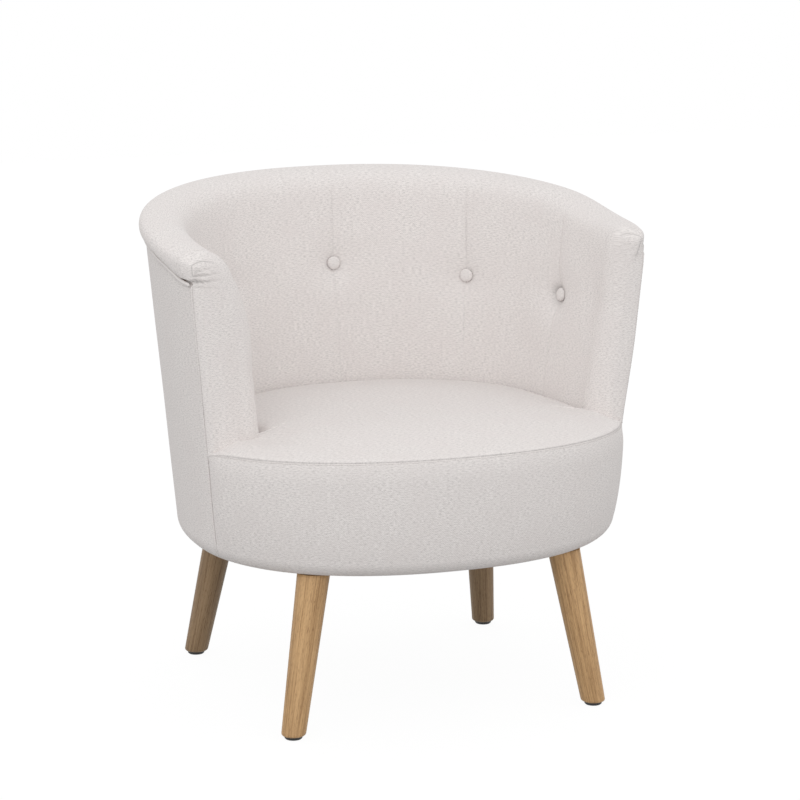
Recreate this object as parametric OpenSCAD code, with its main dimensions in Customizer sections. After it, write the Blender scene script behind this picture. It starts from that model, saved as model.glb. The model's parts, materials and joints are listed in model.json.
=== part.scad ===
// Upholstered barrel chair: a flared tub on four splayed wooden legs.
// Millimetres, +Z up, front towards -Y, origin on the floor under the middle of the chair.

/* [Outline] */
// Height of the back's rim
rim_h = 722; // [640:1:800]
// Height of the seam round the front of the seat
seam_z = 400; // [380:1:430]
// Height of the underside
base_z = 230; // [215:1:245]
// Half of the width at the seam
side_r = 329; // [300:1:370]
// From the widest line forward to the front, at the seam
front_r = 281; // [260:1:320]
// From the widest line back to the rear, at the seam
back_r = 317; // [290:1:350]
// Squareness of the plan: 2 is an ellipse
plan_n = 2.24; // [2:0.02:2.6]
// Outward flare of the walls, in degrees
flare_angle = 5.4; // [3:0.1:7]
// Fall of the rim from the back to the arms, in degrees
rim_tilt = 7.3; // [4:0.1:9]
// Where the arms end, in degrees from the middle of the back
arm_end = 103.5; // [98:0.5:110]
// Radius of the padded bottom edge
edge_r = 26; // [20:1:32]

/* [Upholstered wall] */
// Thickness of the wall at the seat
wall_t_seat = 74; // [68:1:84]
// Thickness of the wall under the roll
wall_t_top = 62; // [58:1:68]
// Thickness of the outside cover
cover_t = 2.2; // [1.5:0.1:3]
// Thickness of the quilted inside cover
quilt_t = 18; // [16:1:22]
// Thickness of the foam sheet behind it
foam_t = 12; // [10:1:14]
// Thickness of the hardboard linings
board_t = 3; // [2:0.5:4]
// How far the roll stands out past the outside cover
lip_out = 7; // [4:0.5:10]
// Depth of the roll's lip on the outside
lip_h = 23; // [18:1:28]
// Extra depth of the lip at the arm ends
lip_droop = 12; // [0:1:16]
// Depth of the roll on the inside
roll_h = 36; // [30:1:44]
// Extra padding on the inside of the arm ends
arm_pad = 20; // [0:1:24]
// Depth of the padded arm facings along the wall, in degrees
facing_deg = 5.2; // [4:0.1:6.5]

/* [Seat] */
// Rise of the seat's crown over its seam
crown = 17; // [8:1:26]
// Fall of the seam from the front to the arms
seam_drop = 8; // [0:1:14]
// Thickness of the quilted seat cover
seat_cover_t = 14; // [10:1:18]
// Swell of the front band
band_puff = 4; // [0:0.5:6]
// From the top of the seat ring up to the seam
seat_build = 42; // [38:1:50]

/* [Tufts] */
// Buttons beside the middle one, in degrees from the back
near_angle = 40; // [34:1:44]
// Outermost buttons, in degrees from the back
far_angle = 79; // [72:1:84]
// From the back's rim down to the middle button
tuft_drop_middle = 140; // [122:1:160]
// From the back's rim down to the buttons beside it
tuft_drop_near = 161; // [140:1:175]
// From the back's rim down to the outermost buttons
tuft_drop_far = 171; // [150:1:185]
// Depth of a tuft
tuft_sink = 11; // [6:0.5:12]
// Depth of the pleats that run through the buttons
pleat_sink = 4; // [0:0.5:6]
// Swell of the back between the tufts
pillow = 3; // [0:0.5:5]
// Diameter of a button
button_d = 20; // [16:1:24]
// Height of a button's dome
button_h = 6.5; // [5:0.5:8]
// Diameter of the twine
twine_d = 2; // [1:0.5:3]

/* [Frame] */
// Thickness of the plywood rings
ply_t = 18; // [15:1:21]
// Width of the base rings
base_ring_w = 92; // [80:1:100]
// Width of the seat ring
seat_ring_w = 78; // [70:1:90]
// Thickness of the posts
post_t = 20; // [18:1:21]
// Width of the posts
post_w = 45; // [36:1:50]
// Posts beside the middle one, in degrees from the back
side_post_angle = 55; // [50:1:60]
// Length of the blocks between the rings
block_w = 60; // [40:1:70]
// Thickness of the blocks between the rings
block_t = 30; // [24:1:34]
// Width of the webbing straps
strap_w = 50; // [40:1:60]
// Thickness of the webbing straps
strap_t = 1.5; // [1:0.1:2]
// Straps each way
strap_count = 4; // [3:1:5]
// Distance between straps
strap_pitch = 88; // [80:1:92]

/* [Legs] */
// Diameter of a leg at the top
leg_top_d = 46; // [40:1:50]
// Diameter of a leg at the foot
leg_foot_d = 34; // [30:1:38]
// Front feet, in from the widest point at the seam
front_foot_in = 101; // [90:1:112]
// Front feet, back from the front at the seam
front_foot_back = 82; // [76:1:94]
// Rear feet, in from the widest point at the seam
rear_foot_in = 93; // [86:1:106]
// Rear feet, forward from the rear at the seam
rear_foot_forward = 71; // [64:1:82]
// Sideways splay of a front leg
front_splay_x = 40; // [32:1:46]
// Forward splay of a front leg
front_splay_y = 24; // [18:1:32]
// Sideways splay of a rear leg
rear_splay_x = 32; // [28:1:40]
// Backward splay of a rear leg
rear_splay_y = 54; // [48:1:62]
// Diameter of a glide
glide_d = 25; // [20:1:28]
// Height of a glide
glide_h = 5; // [4:0.5:8]

/* [Fixings] */
// Diameter of the hanger bolts
bolt_d = 8; // [6:1:10]
// Length of a hanger bolt inside the leg
bolt_in_leg = 34; // [25:1:40]
// Diameter of a tee nut's flange
tee_flange_d = 24; // [20:1:28]
// Diameter of the frame screws
screw_d = 4.2; // [3.5:0.1:5]
// Length of a post screw
post_screw_l = 44; // [38:1:50]
// Diameter of a glide's nail
nail_d = 3; // [2:0.5:4]
// Length of a glide's nail in the leg
nail_l = 16; // [12:1:20]

/* [Hidden] */
$fn = 48;

// Clearances
gap = 0.3;
hole_gap = 0.1;
big = 2000;

// Slopes of the wall and of the rim
flare = tan(flare_angle);
rim_k = tan(rim_tilt);

// Offsets of the layers inward from the outer face of the wall
board_in = cover_t + gap;
// Covers and boards are flat from station to station, which draws them in by up to the bow
bow = 0.8;
frame_in = board_in + board_t + gap + bow;
// A flat post stands clear of the curved board by the board's bow across it
post_bow = post_w * post_w / (8 * front_r) + 0.4;
post_in = frame_in + post_bow;
ridge_in = (wall_t_top - lip_out) / 2;
lining_t = quilt_t + foam_t + 2 * gap;
rail_drop = quilt_t + 2;
rail_in = board_in + bow;
rail_w = wall_t_top - lining_t - rail_in - bow;
rail_under = rail_drop + ply_t / cos(rim_tilt);

// Heights of the frame, from the underside up
hem_w = 18;
ring_low_z = base_z + cover_t + gap;
ring_mid_z = ring_low_z + ply_t;
ring_top_z = ring_mid_z + ply_t;
seat_ring_top = seam_z - seat_build;
seat_ring_z = seat_ring_top - ply_t;
strap_z = seat_ring_top + gap / 2;
seat_foam_z = strap_z + 2 * strap_t + gap;
board_foot_z = base_z + edge_r + gap;
wall_foot_z = seat_ring_top + gap;
lining_foot_z = wall_foot_z + 13;

// Rows of the lip and the band, which reach furthest back and forward: [inward, height]
seam_lap = 2.2;
band_h = seam_z - seam_lap - base_z - edge_r;
lip_rows = [[-lip_out + 0.5, -lip_h], [-lip_out, -lip_h * 0.62], [-lip_out * 0.5, -6]];
band_rows = [for (t = [0, 0.35, 0.7, 1])
    [-band_puff * sin(180 * pow(t, 0.8)), base_z + edge_r + t * band_h]];
function back_rim_z(r, dz) = (rim_h + dz - rim_k * (flare * rim_h - ridge_in + r)) / (1 - rim_k * flare);
back_reach = max([for (p = lip_rows) back_r + flare * (back_rim_z(p[0], p[1]) - seam_z) - p[0]]);
front_reach = max([for (p = band_rows) front_r + flare * (p[1] - seam_z) - p[0]]);
// Widest line of the plan, placed so that the chair's depth is centred on the origin
mid_y = (front_reach - back_reach) / 2;
ridge_y = back_r + flare * (rim_h - seam_z) - ridge_in + mid_y;

// Plan of the chair: angles run from the middle of the back towards the right arm
function bent(v) = sign(v) * pow(abs(v), 2 / plan_n);
function reach(a) = cos(a) > 0 ? back_r : front_r;
// Point on the wall at angle a and height z, r inward from the outer face
function wall(a, z, r) = let (k = flare * (z - seam_z) - r)
    [(side_r + k) * bent(sin(a)), (reach(a) + k) * bent(cos(a)) + mid_y, z];
// Point on the wall at angle a, dz over the sloping plane of the rim, r inward
function rim(a, r, dz) = let (c = bent(cos(a)), foot = (reach(a) - flare * seam_z - r) * c + mid_y)
    wall(a, (rim_h + dz - rim_k * (ridge_y - foot)) / (1 - rim_k * flare * c), r);
// Angle of the wall's outward normal from +Y
function facing_of(a) = let (s = bent(sin(a)), c = bent(cos(a)))
    atan2(sign(s) * pow(abs(s), plan_n - 1) / side_r, sign(c) * pow(abs(c), plan_n - 1) / reach(a));
function plan_loop(z, r, n = 96) = [for (i = [0:n - 1]) let (p = wall(360 * i / n, z, r)) [p[0], p[1]]];
function mix(a, b, t) = a + (b - a) * t;
function flat(p) = [p[0], p[1]];

// Inside face of the wall
function roll_z(a) = rim(a, wall_t_top, -roll_h)[2];
function seat_share(a, z) = min(1, max(0, (roll_z(a) - z) / (roll_z(a) - seam_z)));
function frame_t(a, z) = mix(wall_t_top, wall_t_seat, seat_share(a, z));
// The arm ends are padded thicker, from just past the outermost buttons on
pad_from = far_angle + 4;
function pad_share(a) = let (t = min(1, max(0, (abs(a) - pad_from) / (arm_end - pad_from)))) t * t * (3 - 2 * t);
function wall_t(a, z) = frame_t(a, z) + arm_pad * pad_share(a) * mix(0.5, 1, min(1, 3 * seat_share(a, z)));
function top_t(a) = wall_t_top + arm_pad * pad_share(a) * 0.5;
function seat_t(a) = wall_t_seat + arm_pad * pad_share(a);

// Tufts, from the left arm to the right
tuft_z_middle = rim_h - tuft_drop_middle;
tuft_z_near = rim_h - tuft_drop_near;
tuft_z_far = rim_h - tuft_drop_far;
tuft_angles = [-far_angle, -near_angle, 0, near_angle, far_angle];
tuft_heights = [tuft_z_far, tuft_z_near, tuft_z_middle, tuft_z_near, tuft_z_far];
tuft_flat = button_d * 0.6;
tuft_spread = 27;
pleat_w = 11;
pillow_w = 60;
function tuft_z(a) = lookup(abs(a), [[0, tuft_z_middle], [near_angle, tuft_z_near], [far_angle, tuft_z_far]]);
function along(a, b, z) = norm(wall(a, z, wall_t_top) - wall(b, z, wall_t_top));
function tuft_at(a, z) = max([for (i = [0:4])
    let (d = norm([along(a, tuft_angles[i], z), z - tuft_heights[i]]))
    tuft_sink * exp(-pow(max(0, d - tuft_flat) / tuft_spread, 2))]);
// Pleats are deepest just over the buttons and fade towards the seat and the roll
function pleat_fade(a, z) = z > tuft_z(a)
    ? mix(1, 0.35, (z - tuft_z(a)) / (roll_z(a) - tuft_z(a)))
    : mix(0.7, 0.3, (tuft_z(a) - z) / (tuft_z(a) - seam_z));
function pleat_at(a, z) = max([for (b = tuft_angles)
    pleat_sink * exp(-pow(along(a, b, z) / pleat_w, 2))]) * max(0, pleat_fade(a, z));
function pillow_at(a, z) = pillow * (1 - max([for (b = tuft_angles) exp(-pow(along(a, b, z) / pillow_w, 2))]))
    * sin(180 * seat_share(a, z));
function face_in(a, z) = wall_t(a, z) + pillow_at(a, z) - max(tuft_at(a, z), pleat_at(a, z));

// Heights of the quilt's rows: two over the tufts, one through them and two under
function row_heights(a) = concat([for (t = [0.52, 0.22]) mix(tuft_z(a), roll_z(a), t)],
    [for (t = [0, 0.18, 0.55]) mix(tuft_z(a), seam_z, t)]);

// Stations round the wall: evenly spaced, or drawn together at the tufts
function even(a, b, n) = [for (i = [0:n]) mix(a, b, i / n)];
function eased(a, b, n) = [for (i = [0:n - 1]) let (t = i / n) mix(a, b, t - 0.09 * sin(360 * t))];
wall_stations = concat(
    eased(-arm_end, -far_angle, 4), eased(-far_angle, -near_angle, 7), eased(-near_angle, 0, 7),
    eased(0, near_angle, 7), eased(near_angle, far_angle, 7), eased(far_angle, arm_end, 4), [arm_end]);
facing_gap = gap * 180 / (PI * front_r);
facing_end = arm_end + facing_gap + facing_deg;
// The vertical seams at the fronts of the arms
seam_angle = arm_end + 3.5;

// Depth of the lip, which droops at the arm ends
function lip_z(a) = lip_h + lip_droop * pow(max(0, (abs(a) - arm_end + 22) / 22), 2);

// Height of the seat's top over a point, crowned in the middle and lowest at the arms
function seat_n(p) = let (y = p[1] - mid_y, b = y > 0 ? back_r : front_r)
    pow(pow(abs(p[0]) / side_r, plan_n) + pow(abs(y) / b, plan_n), 1 / plan_n);
function seat_top(p) = let (y = mid_y - p[1], side = max(0, 1 - max(0, y) / front_r) / (1 + cos(seam_angle)))
    seam_z + crown - (crown + seam_drop * min(1, side)) * pow(min(1.05, seat_n(p)), 3);
function seam_at(a) = seat_top(wall(a, seam_z, gap));

// A skin between two grids of points, rows[station][row], closed at every edge
module skin(outer, inner, colour) {
    k = len(outer);
    m = len(outer[0]);
    o = k * m;
    points = concat([for (row = outer) each row], [for (row = inner) each row]);
    faces = concat(
        [for (i = [0:k - 2], j = [0:m - 2]) let (a = i * m + j, b = a + m) each [[a, b, a + 1], [b, b + 1, a + 1]]],
        [for (i = [0:k - 2], j = [0:m - 2])
            let (a = o + i * m + j, b = a + m) each [[a, a + 1, b], [b, a + 1, b + 1]]],
        [for (i = [0:k - 2]) let (a = i * m, b = a + m) each [[a, o + a, b], [b, o + a, o + b]]],
        [for (i = [0:k - 2])
            let (a = i * m + m - 1, b = a + m) each [[a, b, o + a], [b, o + b, o + a]]],
        [for (j = [0:m - 2]) let (a = j) each [[a, a + 1, o + a], [a + 1, o + a + 1, o + a]]],
        [for (j = [0:m - 2])
            let (a = (k - 1) * m + j) each [[a, o + a, a + 1], [a + 1, o + a, o + a + 1]]]);
    color(colour) polyhedron(points, faces);
}

// A pad over a closed plan: rings[ring][station] from the middle of the top to the middle of the bottom
module pad(top_middle, rings, bottom_middle, colour) {
    k = len(rings);
    m = len(rings[0]);
    last = k * m + 1;
    points = concat([top_middle], [for (ring = rings) each ring], [bottom_middle]);
    faces = concat(
        [for (j = [0:m - 1]) [0, 1 + j, 1 + (j + 1) % m]],
        [for (i = [0:k - 2], j = [0:m - 1])
            let (a = 1 + i * m + j, b = 1 + i * m + (j + 1) % m) each [[a, a + m, b], [b, a + m, b + m]]],
        [for (j = [0:m - 1]) let (a = 1 + (k - 1) * m) [a + j, last, a + (j + 1) % m]]);
    color(colour) polyhedron(points, faces);
}

// Children stand at angle a: X along the wall, Y outward, origin r inward at height z
module at_wall(a, z, r) {
    translate(wall(a, z, r)) rotate([0, 0, -facing_of(a)]) children();
}

// Colours
linen = [0.86, 0.83, 0.8];
oak = [0.74, 0.6, 0.42];
ply = [0.82, 0.7, 0.52];
hardboard = [0.5, 0.37, 0.25];
foam = [0.93, 0.88, 0.7];
felt = [0.1, 0.1, 0.11];
steel = [0.7, 0.71, 0.73];

// Outside cover: from the hem under the base, round the bottom edge and up to the roll
module outside_cover() {
    rows = [[edge_r + hem_w, base_z], [edge_r, base_z],
        for (t = [30, 60, 90]) [edge_r * (1 - sin(t)), base_z + edge_r * (1 - cos(t))]];
    corner = even(arm_end + facing_gap, seam_angle, 2);
    stations = concat([for (i = [2:-1:0]) -corner[i]], wall_stations, corner);
    function top_dz(a) = abs(a) > arm_end ? -lip_z(arm_end) - 9 : -lip_z(a) + 5;
    function column(a, t) = concat(
        [wall(a, rows[0][1] + t, rows[0][0]), wall(a, rows[1][1] + t, rows[1][0])],
        [for (i = [2:4]) let (p = rows[i], u = (edge_r - t) / edge_r)
            wall(a, base_z + edge_r - (base_z + edge_r - p[1]) * u, edge_r - (edge_r - p[0]) * u)],
        [rim(a, t, top_dz(a))]);
    color(linen) difference() {
        skin([for (a = stations) column(a, 0)], [for (a = stations) column(a, cover_t)], linen);
        bolt_holes();
    }
}

// Front band of the seat: the same bottom edge, swelling a little between its seams
module seat_front_band() {
    arc = [for (t = [0, 30, 60]) [edge_r * (1 - sin(t)), base_z + edge_r * (1 - cos(t))]];
    first = seam_angle + facing_gap;
    stations = even(first, 360 - first, 30);
    function z_of(a, z) = z <= base_z + edge_r ? z
        : mix(base_z + edge_r, seam_at(a) - seam_lap, (z - base_z - edge_r) / band_h);
    function column(a, t) = let (u = (edge_r - t) / edge_r)
        concat(
            [wall(a, base_z + t, edge_r + hem_w)],
            [for (p = arc) wall(a, base_z + edge_r - (base_z + edge_r - p[1]) * u, edge_r - (edge_r - p[0]) * u)],
            [for (p = band_rows) wall(a, z_of(a, p[1]), t > 0 ? t : p[0])]);
    color(linen) difference() {
        skin([for (a = stations) column(a, 0)], [for (a = stations) column(a, cover_t)], linen);
        bolt_holes();
    }
}

// Quilted inside cover: from behind the seat up the tufted back, over the roll to the lip outside
module inside_back_cover() {
    function front_column(a) = concat(
        [rim(a, lip_rows[0][0], -lip_z(a))],
        [for (i = [1:2]) rim(a, lip_rows[i][0], lip_rows[i][1])],
        [rim(a, ridge_in * 0.3, -0.8), rim(a, ridge_in, 0)],
        [rim(a, mix(ridge_in, top_t(a), 0.55), -roll_h * 0.1),
            rim(a, mix(ridge_in, top_t(a), 0.86), -roll_h * 0.38)],
        [let (z = roll_z(a)) wall(a, z, face_in(a, z))],
        [for (z = row_heights(a)) wall(a, z, face_in(a, z))],
        [wall(a, seam_z, seat_t(a)), wall(a, lining_foot_z, seat_t(a))]);
    function back_column(a) = concat(
        [rim(a, -gap - 0.1, -lip_z(a)), rim(a, -gap - 0.1, -rail_drop + 3)],
        [rim(a, 1.2, -rail_drop + 5), rim(a, 8, -quilt_t + 4.6), rim(a, ridge_in, -quilt_t + 4.6)],
        [rim(a, top_t(a) - quilt_t - 12, -quilt_t + 4.6), rim(a, top_t(a) - quilt_t - 3, -quilt_t)],
        [wall(a, roll_z(a), top_t(a) - quilt_t)],
        [for (z = row_heights(a)) wall(a, z, wall_t(a, z) - quilt_t)],
        [wall(a, seam_z, seat_t(a) - quilt_t), wall(a, lining_foot_z, seat_t(a) - quilt_t)]);
    color(linen) difference() {
        skin([for (a = wall_stations) front_column(a)], [for (a = wall_stations) back_column(a)], linen);
        twine_holes();
    }
}

// Padded facing that closes an arm's front, standing on the seat; side is -1 left, 1 right
module arm_facing(side) {
    // Rings from the wall's end forward: [share of the depth, outer inset, inner inset, drop of the top]
    rings = [[0, 0, 0, 0], [0.3, 0, 1, 0], [0.55, 0, 5, 1], [0.75, 1, 11, 4], [0.9, 2, 19, 9], [1, 7, 29, 17]];
    lip = lip_z(arm_end);
    outer = [for (g = rings) let (a = side * (arm_end + facing_gap + g[0] * facing_deg), r = board_in + g[1],
            foot = wall(a, seam_z, r), z = seat_top(foot) + 1.4)
        concat(
            [for (t = [0, 0.33, 0.66]) mix(wall(a, z, r), rim(a, r, -lip - 8), t)],
            [rim(a, r, -lip - 8), rim(a, g[1] - lip_out + 1.5, -lip + 1)],
            [rim(a, g[1] - lip_out, -lip_h * 0.62 - g[3] * 0.5), rim(a, g[1] - lip_out * 0.5, -6 - g[3] * 0.8)],
            [rim(a, ridge_in * 0.3 + g[1], -0.8 - g[3]), rim(a, ridge_in * 0.8, -g[3])])];
    inner = [for (g = rings) let (a = side * (arm_end + facing_gap + g[0] * facing_deg),
            foot = wall(a, seam_z, seat_t(a) - g[2]), z = seat_top(foot) + 1.4)
        concat(
            [for (t = [0, 0.3, 0.6]) let (h = mix(z, roll_z(a), t)) wall(a, h, wall_t(a, h) - g[2])],
            [for (t = [0.82, 1]) let (h = mix(z, roll_z(a), t)) wall(a, h - g[3] * 0.3, wall_t(a, h) - g[2])],
            [rim(a, mix(ridge_in, top_t(a), 0.86) - g[2], -roll_h * 0.38 - g[3] * 0.6)],
            [rim(a, mix(ridge_in, top_t(a), 0.55) - g[2] * 0.6, -roll_h * 0.1 - g[3] * 0.9)],
            [rim(a, mix(ridge_in, top_t(a), 0.3) - g[2] * 0.2, -0.6 - g[3]), rim(a, ridge_in * 1.1, -g[3])])];
    if (side > 0) skin(outer, inner, linen);
    else skin(inner, outer, linen);
}

// Inward offset of the seat's edge: inside the wall, under the arm facings, then out to the seam
seat_edge = concat(
    [for (a = wall_stations) [a, seat_t(a) + gap + 0.1]],
    [[arm_end + facing_gap, seat_t(arm_end) + gap + 0.1], [arm_end + facing_gap, board_in]],
    [[arm_end + 2, board_in], [seam_angle + facing_gap, board_in]],
    [for (a = even(seam_angle + 2 * facing_gap, 360 - seam_angle - 2 * facing_gap, 30)) [a, gap]],
    [[360 - seam_angle - facing_gap, board_in], [360 - arm_end - 2, board_in]],
    [[360 - arm_end - facing_gap, board_in], [360 - arm_end - facing_gap, seat_t(arm_end) + gap + 0.1]]);
function seat_point(e, share, z, more = 0) = let (p = wall(e[0], z, e[1] + more))
    [p[0] * share, mix(mid_y, p[1], share), z];
function seat_ring_points(share, drop, more = 0) = [for (e = seat_edge)
    let (p = seat_point(e, share, seam_z, more), z = seat_top(p) - drop) seat_point(e, share, z, more)];

// Crowned and quilted seat cover
module seat_cover() {
    pad([0, mid_y, seam_z + crown],
        concat(
            [for (s = [0.26, 0.52, 0.74, 0.88, 0.96, 1]) seat_ring_points(s, 0)],
            [seat_ring_points(1, 1.8), seat_ring_points(1, 1.8, cover_t + gap)],
            [for (s = [0.9, 0.6]) seat_ring_points(s, seat_cover_t)]),
        [0, mid_y, seam_z + crown - seat_cover_t], linen);
}

// Seat foam: crowned like its cover, flat on the webbing
module seat_foam() {
    low = [for (e = seat_edge) seat_point(e, 1, seat_foam_z, 2 * cover_t)];
    under = seat_cover_t + 1.9;
    pad([0, mid_y, seam_z + crown - under],
        concat([for (s = [0.6, 0.9]) seat_ring_points(s, under)], [seat_ring_points(1, under, 2 * cover_t), low]),
        [0, mid_y, seat_foam_z], foam);
}

// Foam sheet behind the inside cover, folded over the top rail
module back_foam() {
    f = quilt_t + gap;
    function front_column(a) = concat(
        [rim(a, rail_in + 0.6, -rail_drop + 3.4), rim(a, 9, -quilt_t + 4.2)],
        [rim(a, top_t(a) - f - 12, -quilt_t + 4.2), rim(a, top_t(a) - f - 3.4, -quilt_t - 0.6)],
        [wall(a, roll_z(a), top_t(a) - f)],
        [for (z = row_heights(a)) wall(a, z, wall_t(a, z) - f)],
        [wall(a, seam_z, seat_t(a) - f), wall(a, wall_foot_z, seat_t(a) - f)]);
    function back_column(a) = let (r = f + foam_t) concat(
        [rim(a, rail_in + 0.6, -rail_drop + gap), rim(a, 9, -rail_drop + gap)],
        [rim(a, wall_t_top - r - 0.2, -rail_drop + gap), rim(a, wall_t_top - r, -rail_drop - 2)],
        [wall(a, roll_z(a), wall_t_top - r)],
        [for (z = row_heights(a)) wall(a, z, frame_t(a, z) - r)],
        [wall(a, seam_z, wall_t_seat - r), wall(a, wall_foot_z, wall_t_seat - r)]);
    color(foam) difference() {
        skin([for (a = wall_stations) front_column(a)], [for (a = wall_stations) back_column(a)], foam);
        twine_holes();
    }
}

// Hardboard lining that the back's foam is glued to
module inner_back_board() {
    r = lining_t;
    function column(a, t) = [rim(a, wall_t_top - r - t, -rail_under - gap), wall(a, seam_z, wall_t_seat - r - t),
        wall(a, wall_foot_z, wall_t_seat - r - t)];
    color(hardboard) difference() {
        skin([for (a = wall_stations) column(a, 0)], [for (a = wall_stations) column(a, board_t)], hardboard);
        twine_holes();
    }
}

// Hardboard lining under the outside cover
module outer_back_board() {
    function column(a, r) = [wall(a, board_foot_z, r), rim(a, r, -rail_under - gap)];
    skin([for (a = wall_stations) column(a, board_in)], [for (a = wall_stations) column(a, board_in + board_t)],
        hardboard);
}

// Hardboard lining under the front band
module front_board() {
    first = arm_end + facing_gap;
    stations = even(first, 360 - first, 36);
    function column(a, r) = [wall(a, board_foot_z, r), wall(a, seat_ring_top, r)];
    skin([for (a = stations) column(a, board_in)], [for (a = stations) column(a, board_in + board_t)], hardboard);
}

// Everything over the sloping plane that lies d below the rim
module over_rail(d) {
    translate([0, ridge_y, rim_h - d]) rotate([rim_tilt, 0, 0]) translate([-big / 2, -big / 2, 0])
        cube([big, big, big]);
}

// Horseshoe top rail, in the sloping plane of the rim
module top_rail() {
    end = arm_end - 1;
    // Its edges are square to the slope: the outer one is set by its lower face, the inner one by its upper
    function sloped(p) = let (z = p[2] - rim_h + rail_under)
        [p[0], (p[1] - ridge_y) * cos(rim_tilt) + z * sin(rim_tilt)];
    outline = concat(
        [for (a = even(-end, end, 60)) sloped(rim(a, rail_in, -rail_under))],
        [for (a = even(end, -end, 60)) sloped(rim(a, rail_in + rail_w, -rail_drop))]);
    color(ply) difference() {
        translate([0, ridge_y, rim_h - rail_under]) rotate([rim_tilt, 0, 0]) linear_extrude(ply_t) polygon(outline);
        for (a = post_angles) rail_screw_shape(a, hole_gap);
    }
}

// Posts from the base rings up to the top rail, leaning with the wall
arm_post_angle = arm_end - 5.2;
post_angles = [-arm_post_angle, -side_post_angle, 0, side_post_angle, arm_post_angle];
post_margin = 60;
module post(a) {
    color(oak) difference() {
        at_wall(a, ring_top_z, post_in) rotate([-flare_angle, 0, 0])
            translate([-post_w / 2, -post_t, -post_margin]) cube([post_w, post_t, rim_h]);
        translate([-big / 2, -big / 2, ring_top_z - big]) cube([big, big, big]);
        over_rail(rail_under);
        post_screw_shapes(a, hole_gap);
        rail_screw_shape(a, hole_gap);
    }
}

// A flat ring with its outer edge r inward of the wall at height z
module flat_ring(z, t, outer, inner) {
    translate([0, 0, z]) linear_extrude(t) difference() {
        polygon(outer);
        polygon(inner);
    }
}

// Seat ring: stands inside the posts, and out to the front board in front of the arms
module seat_ring() {
    n = 144;
    function edge_in(a) = cos(a) > cos(arm_end + 2) ? post_in + post_t + gap : frame_in;
    outer = [for (i = [0:n - 1]) let (a = 360 * i / n) flat(wall(a, seat_ring_z, edge_in(a)))];
    color(ply) difference() {
        flat_ring(seat_ring_z, ply_t, outer, plan_loop(seat_ring_z, post_in + post_t + seat_ring_w));
        for (a = post_angles) post_screw_shapes(a, hole_gap);
    }
}

// Laminated base: the upper ring reaches the boards, the lower one stays inside the padded edge
module base_ring_upper() {
    color(ply) difference() {
        flat_ring(ring_mid_z, ply_t, plan_loop(ring_mid_z, frame_in),
            plan_loop(ring_mid_z, frame_in + base_ring_w));
        tee_nut_shapes(hole_gap);
        ring_screw_shapes(hole_gap);
    }
}

module base_ring_lower() {
    color(ply) difference() {
        flat_ring(ring_low_z, ply_t, plan_loop(ring_low_z, edge_r + 1),
            plan_loop(ring_mid_z, frame_in + base_ring_w));
        for (p = leg_places) translate([p[0], p[1], 0]) cylinder(d = bolt_d + 1, h = big);
        ring_screw_shapes(hole_gap);
    }
}

// Blocks that carry the seat ring on the base
block_angles = [18, 74, 116, 158, -18, -74, -116, -158];
module spacer_blocks() {
    r = post_in + post_t + seat_ring_w / 2 - block_t / 2;
    for (a = block_angles) color(oak) at_wall(a, ring_top_z, r)
        translate([-block_w / 2, -block_t, 0]) cube([block_w, block_t, seat_ring_z - ring_top_z]);
}

// Elastic webbing, stapled on the seat ring; the crosswise straps lie on the lengthwise ones
strap_in = post_in + post_t + seat_ring_w * 0.6;
function strap_places() = [for (i = [0:strap_count - 1]) (i - (strap_count - 1) / 2) * strap_pitch];
// Half chord of the plan across a line at distance d
function half_chord(d, across, down) = across * pow(1 - pow(min(0.999, abs(d) / down), plan_n), 1 / plan_n);
module webbing_lengthwise() {
    k = flare * (seat_ring_z - seam_z) - strap_in;
    for (x = strap_places()) {
        far = abs(x) + strap_w / 2;
        back = half_chord(far, back_r + k, side_r + k);
        front = half_chord(far, front_r + k, side_r + k);
        color(felt) translate([x - strap_w / 2, mid_y - front, strap_z]) cube([strap_w, front + back, strap_t]);
    }
}

module webbing_crosswise() {
    k = flare * (seat_ring_z - seam_z) - strap_in;
    for (y = strap_places()) {
        half = half_chord(abs(y) + strap_w / 2, side_r + k, (y > 0 ? back_r : front_r) + k);
        color(felt) translate([-half, mid_y + y - strap_w / 2, strap_z + strap_t]) cube([2 * half, strap_w, strap_t]);
    }
}

// Dust cover: thin black cloth under the base, inside the covers' hems
module dust_cover() {
    color(felt) difference() {
        translate([0, 0, base_z + gap]) linear_extrude(1.2) polygon(plan_loop(base_z, edge_r + hem_w + 2 * bow));
        bolt_holes();
    }
}

module bolt_holes() {
    for (p = leg_places) translate([p[0], p[1], 0]) cylinder(d = bolt_d + 1, h = ring_top_z, $fn = 16);
}

// Button: a covered dome on a short shank; the dome faces the sitter
lean_in = atan(flare + (wall_t_seat - wall_t_top) / (rim_h - roll_h - seam_z));
function button_in(i) = wall_t(tuft_angles[i], tuft_heights[i]) - tuft_sink;
module back_button(i) {
    rim_t = button_h * 0.3;
    dome = [for (t = [0:10:80]) [button_d / 2 * cos(t), rim_t + (button_h - rim_t) * sin(t)]];
    profile = concat([[0, 0], [button_d * 0.4, 0], [button_d / 2, rim_t * 0.6]], dome, [[0, button_h]]);
    color(linen) on_tuft(i) translate([0, 0, 1]) rotate_extrude() polygon(profile);
}

// Twine from each button through the padding and the board
board_depth = lining_t + board_t - tuft_sink;
// Children lie along a button's axis: +Z towards the sitter, origin at the bottom of the tuft
module on_tuft(i) {
    at_wall(tuft_angles[i], tuft_heights[i], button_in(i)) rotate([-lean_in, 0, 0]) rotate([90, 0, 0]) children();
}
module button_twines() {
    for (i = [0:4]) color("white") on_tuft(i) translate([0, 0, -board_depth - gap])
        cylinder(d = twine_d, h = board_depth + gap + 0.7);
}

module twine_holes() {
    for (i = [0:4]) on_tuft(i) translate([0, 0, -board_depth - 8])
        cylinder(d = twine_d + 0.6, h = board_depth + 20, $fn = 8);
}

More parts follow.
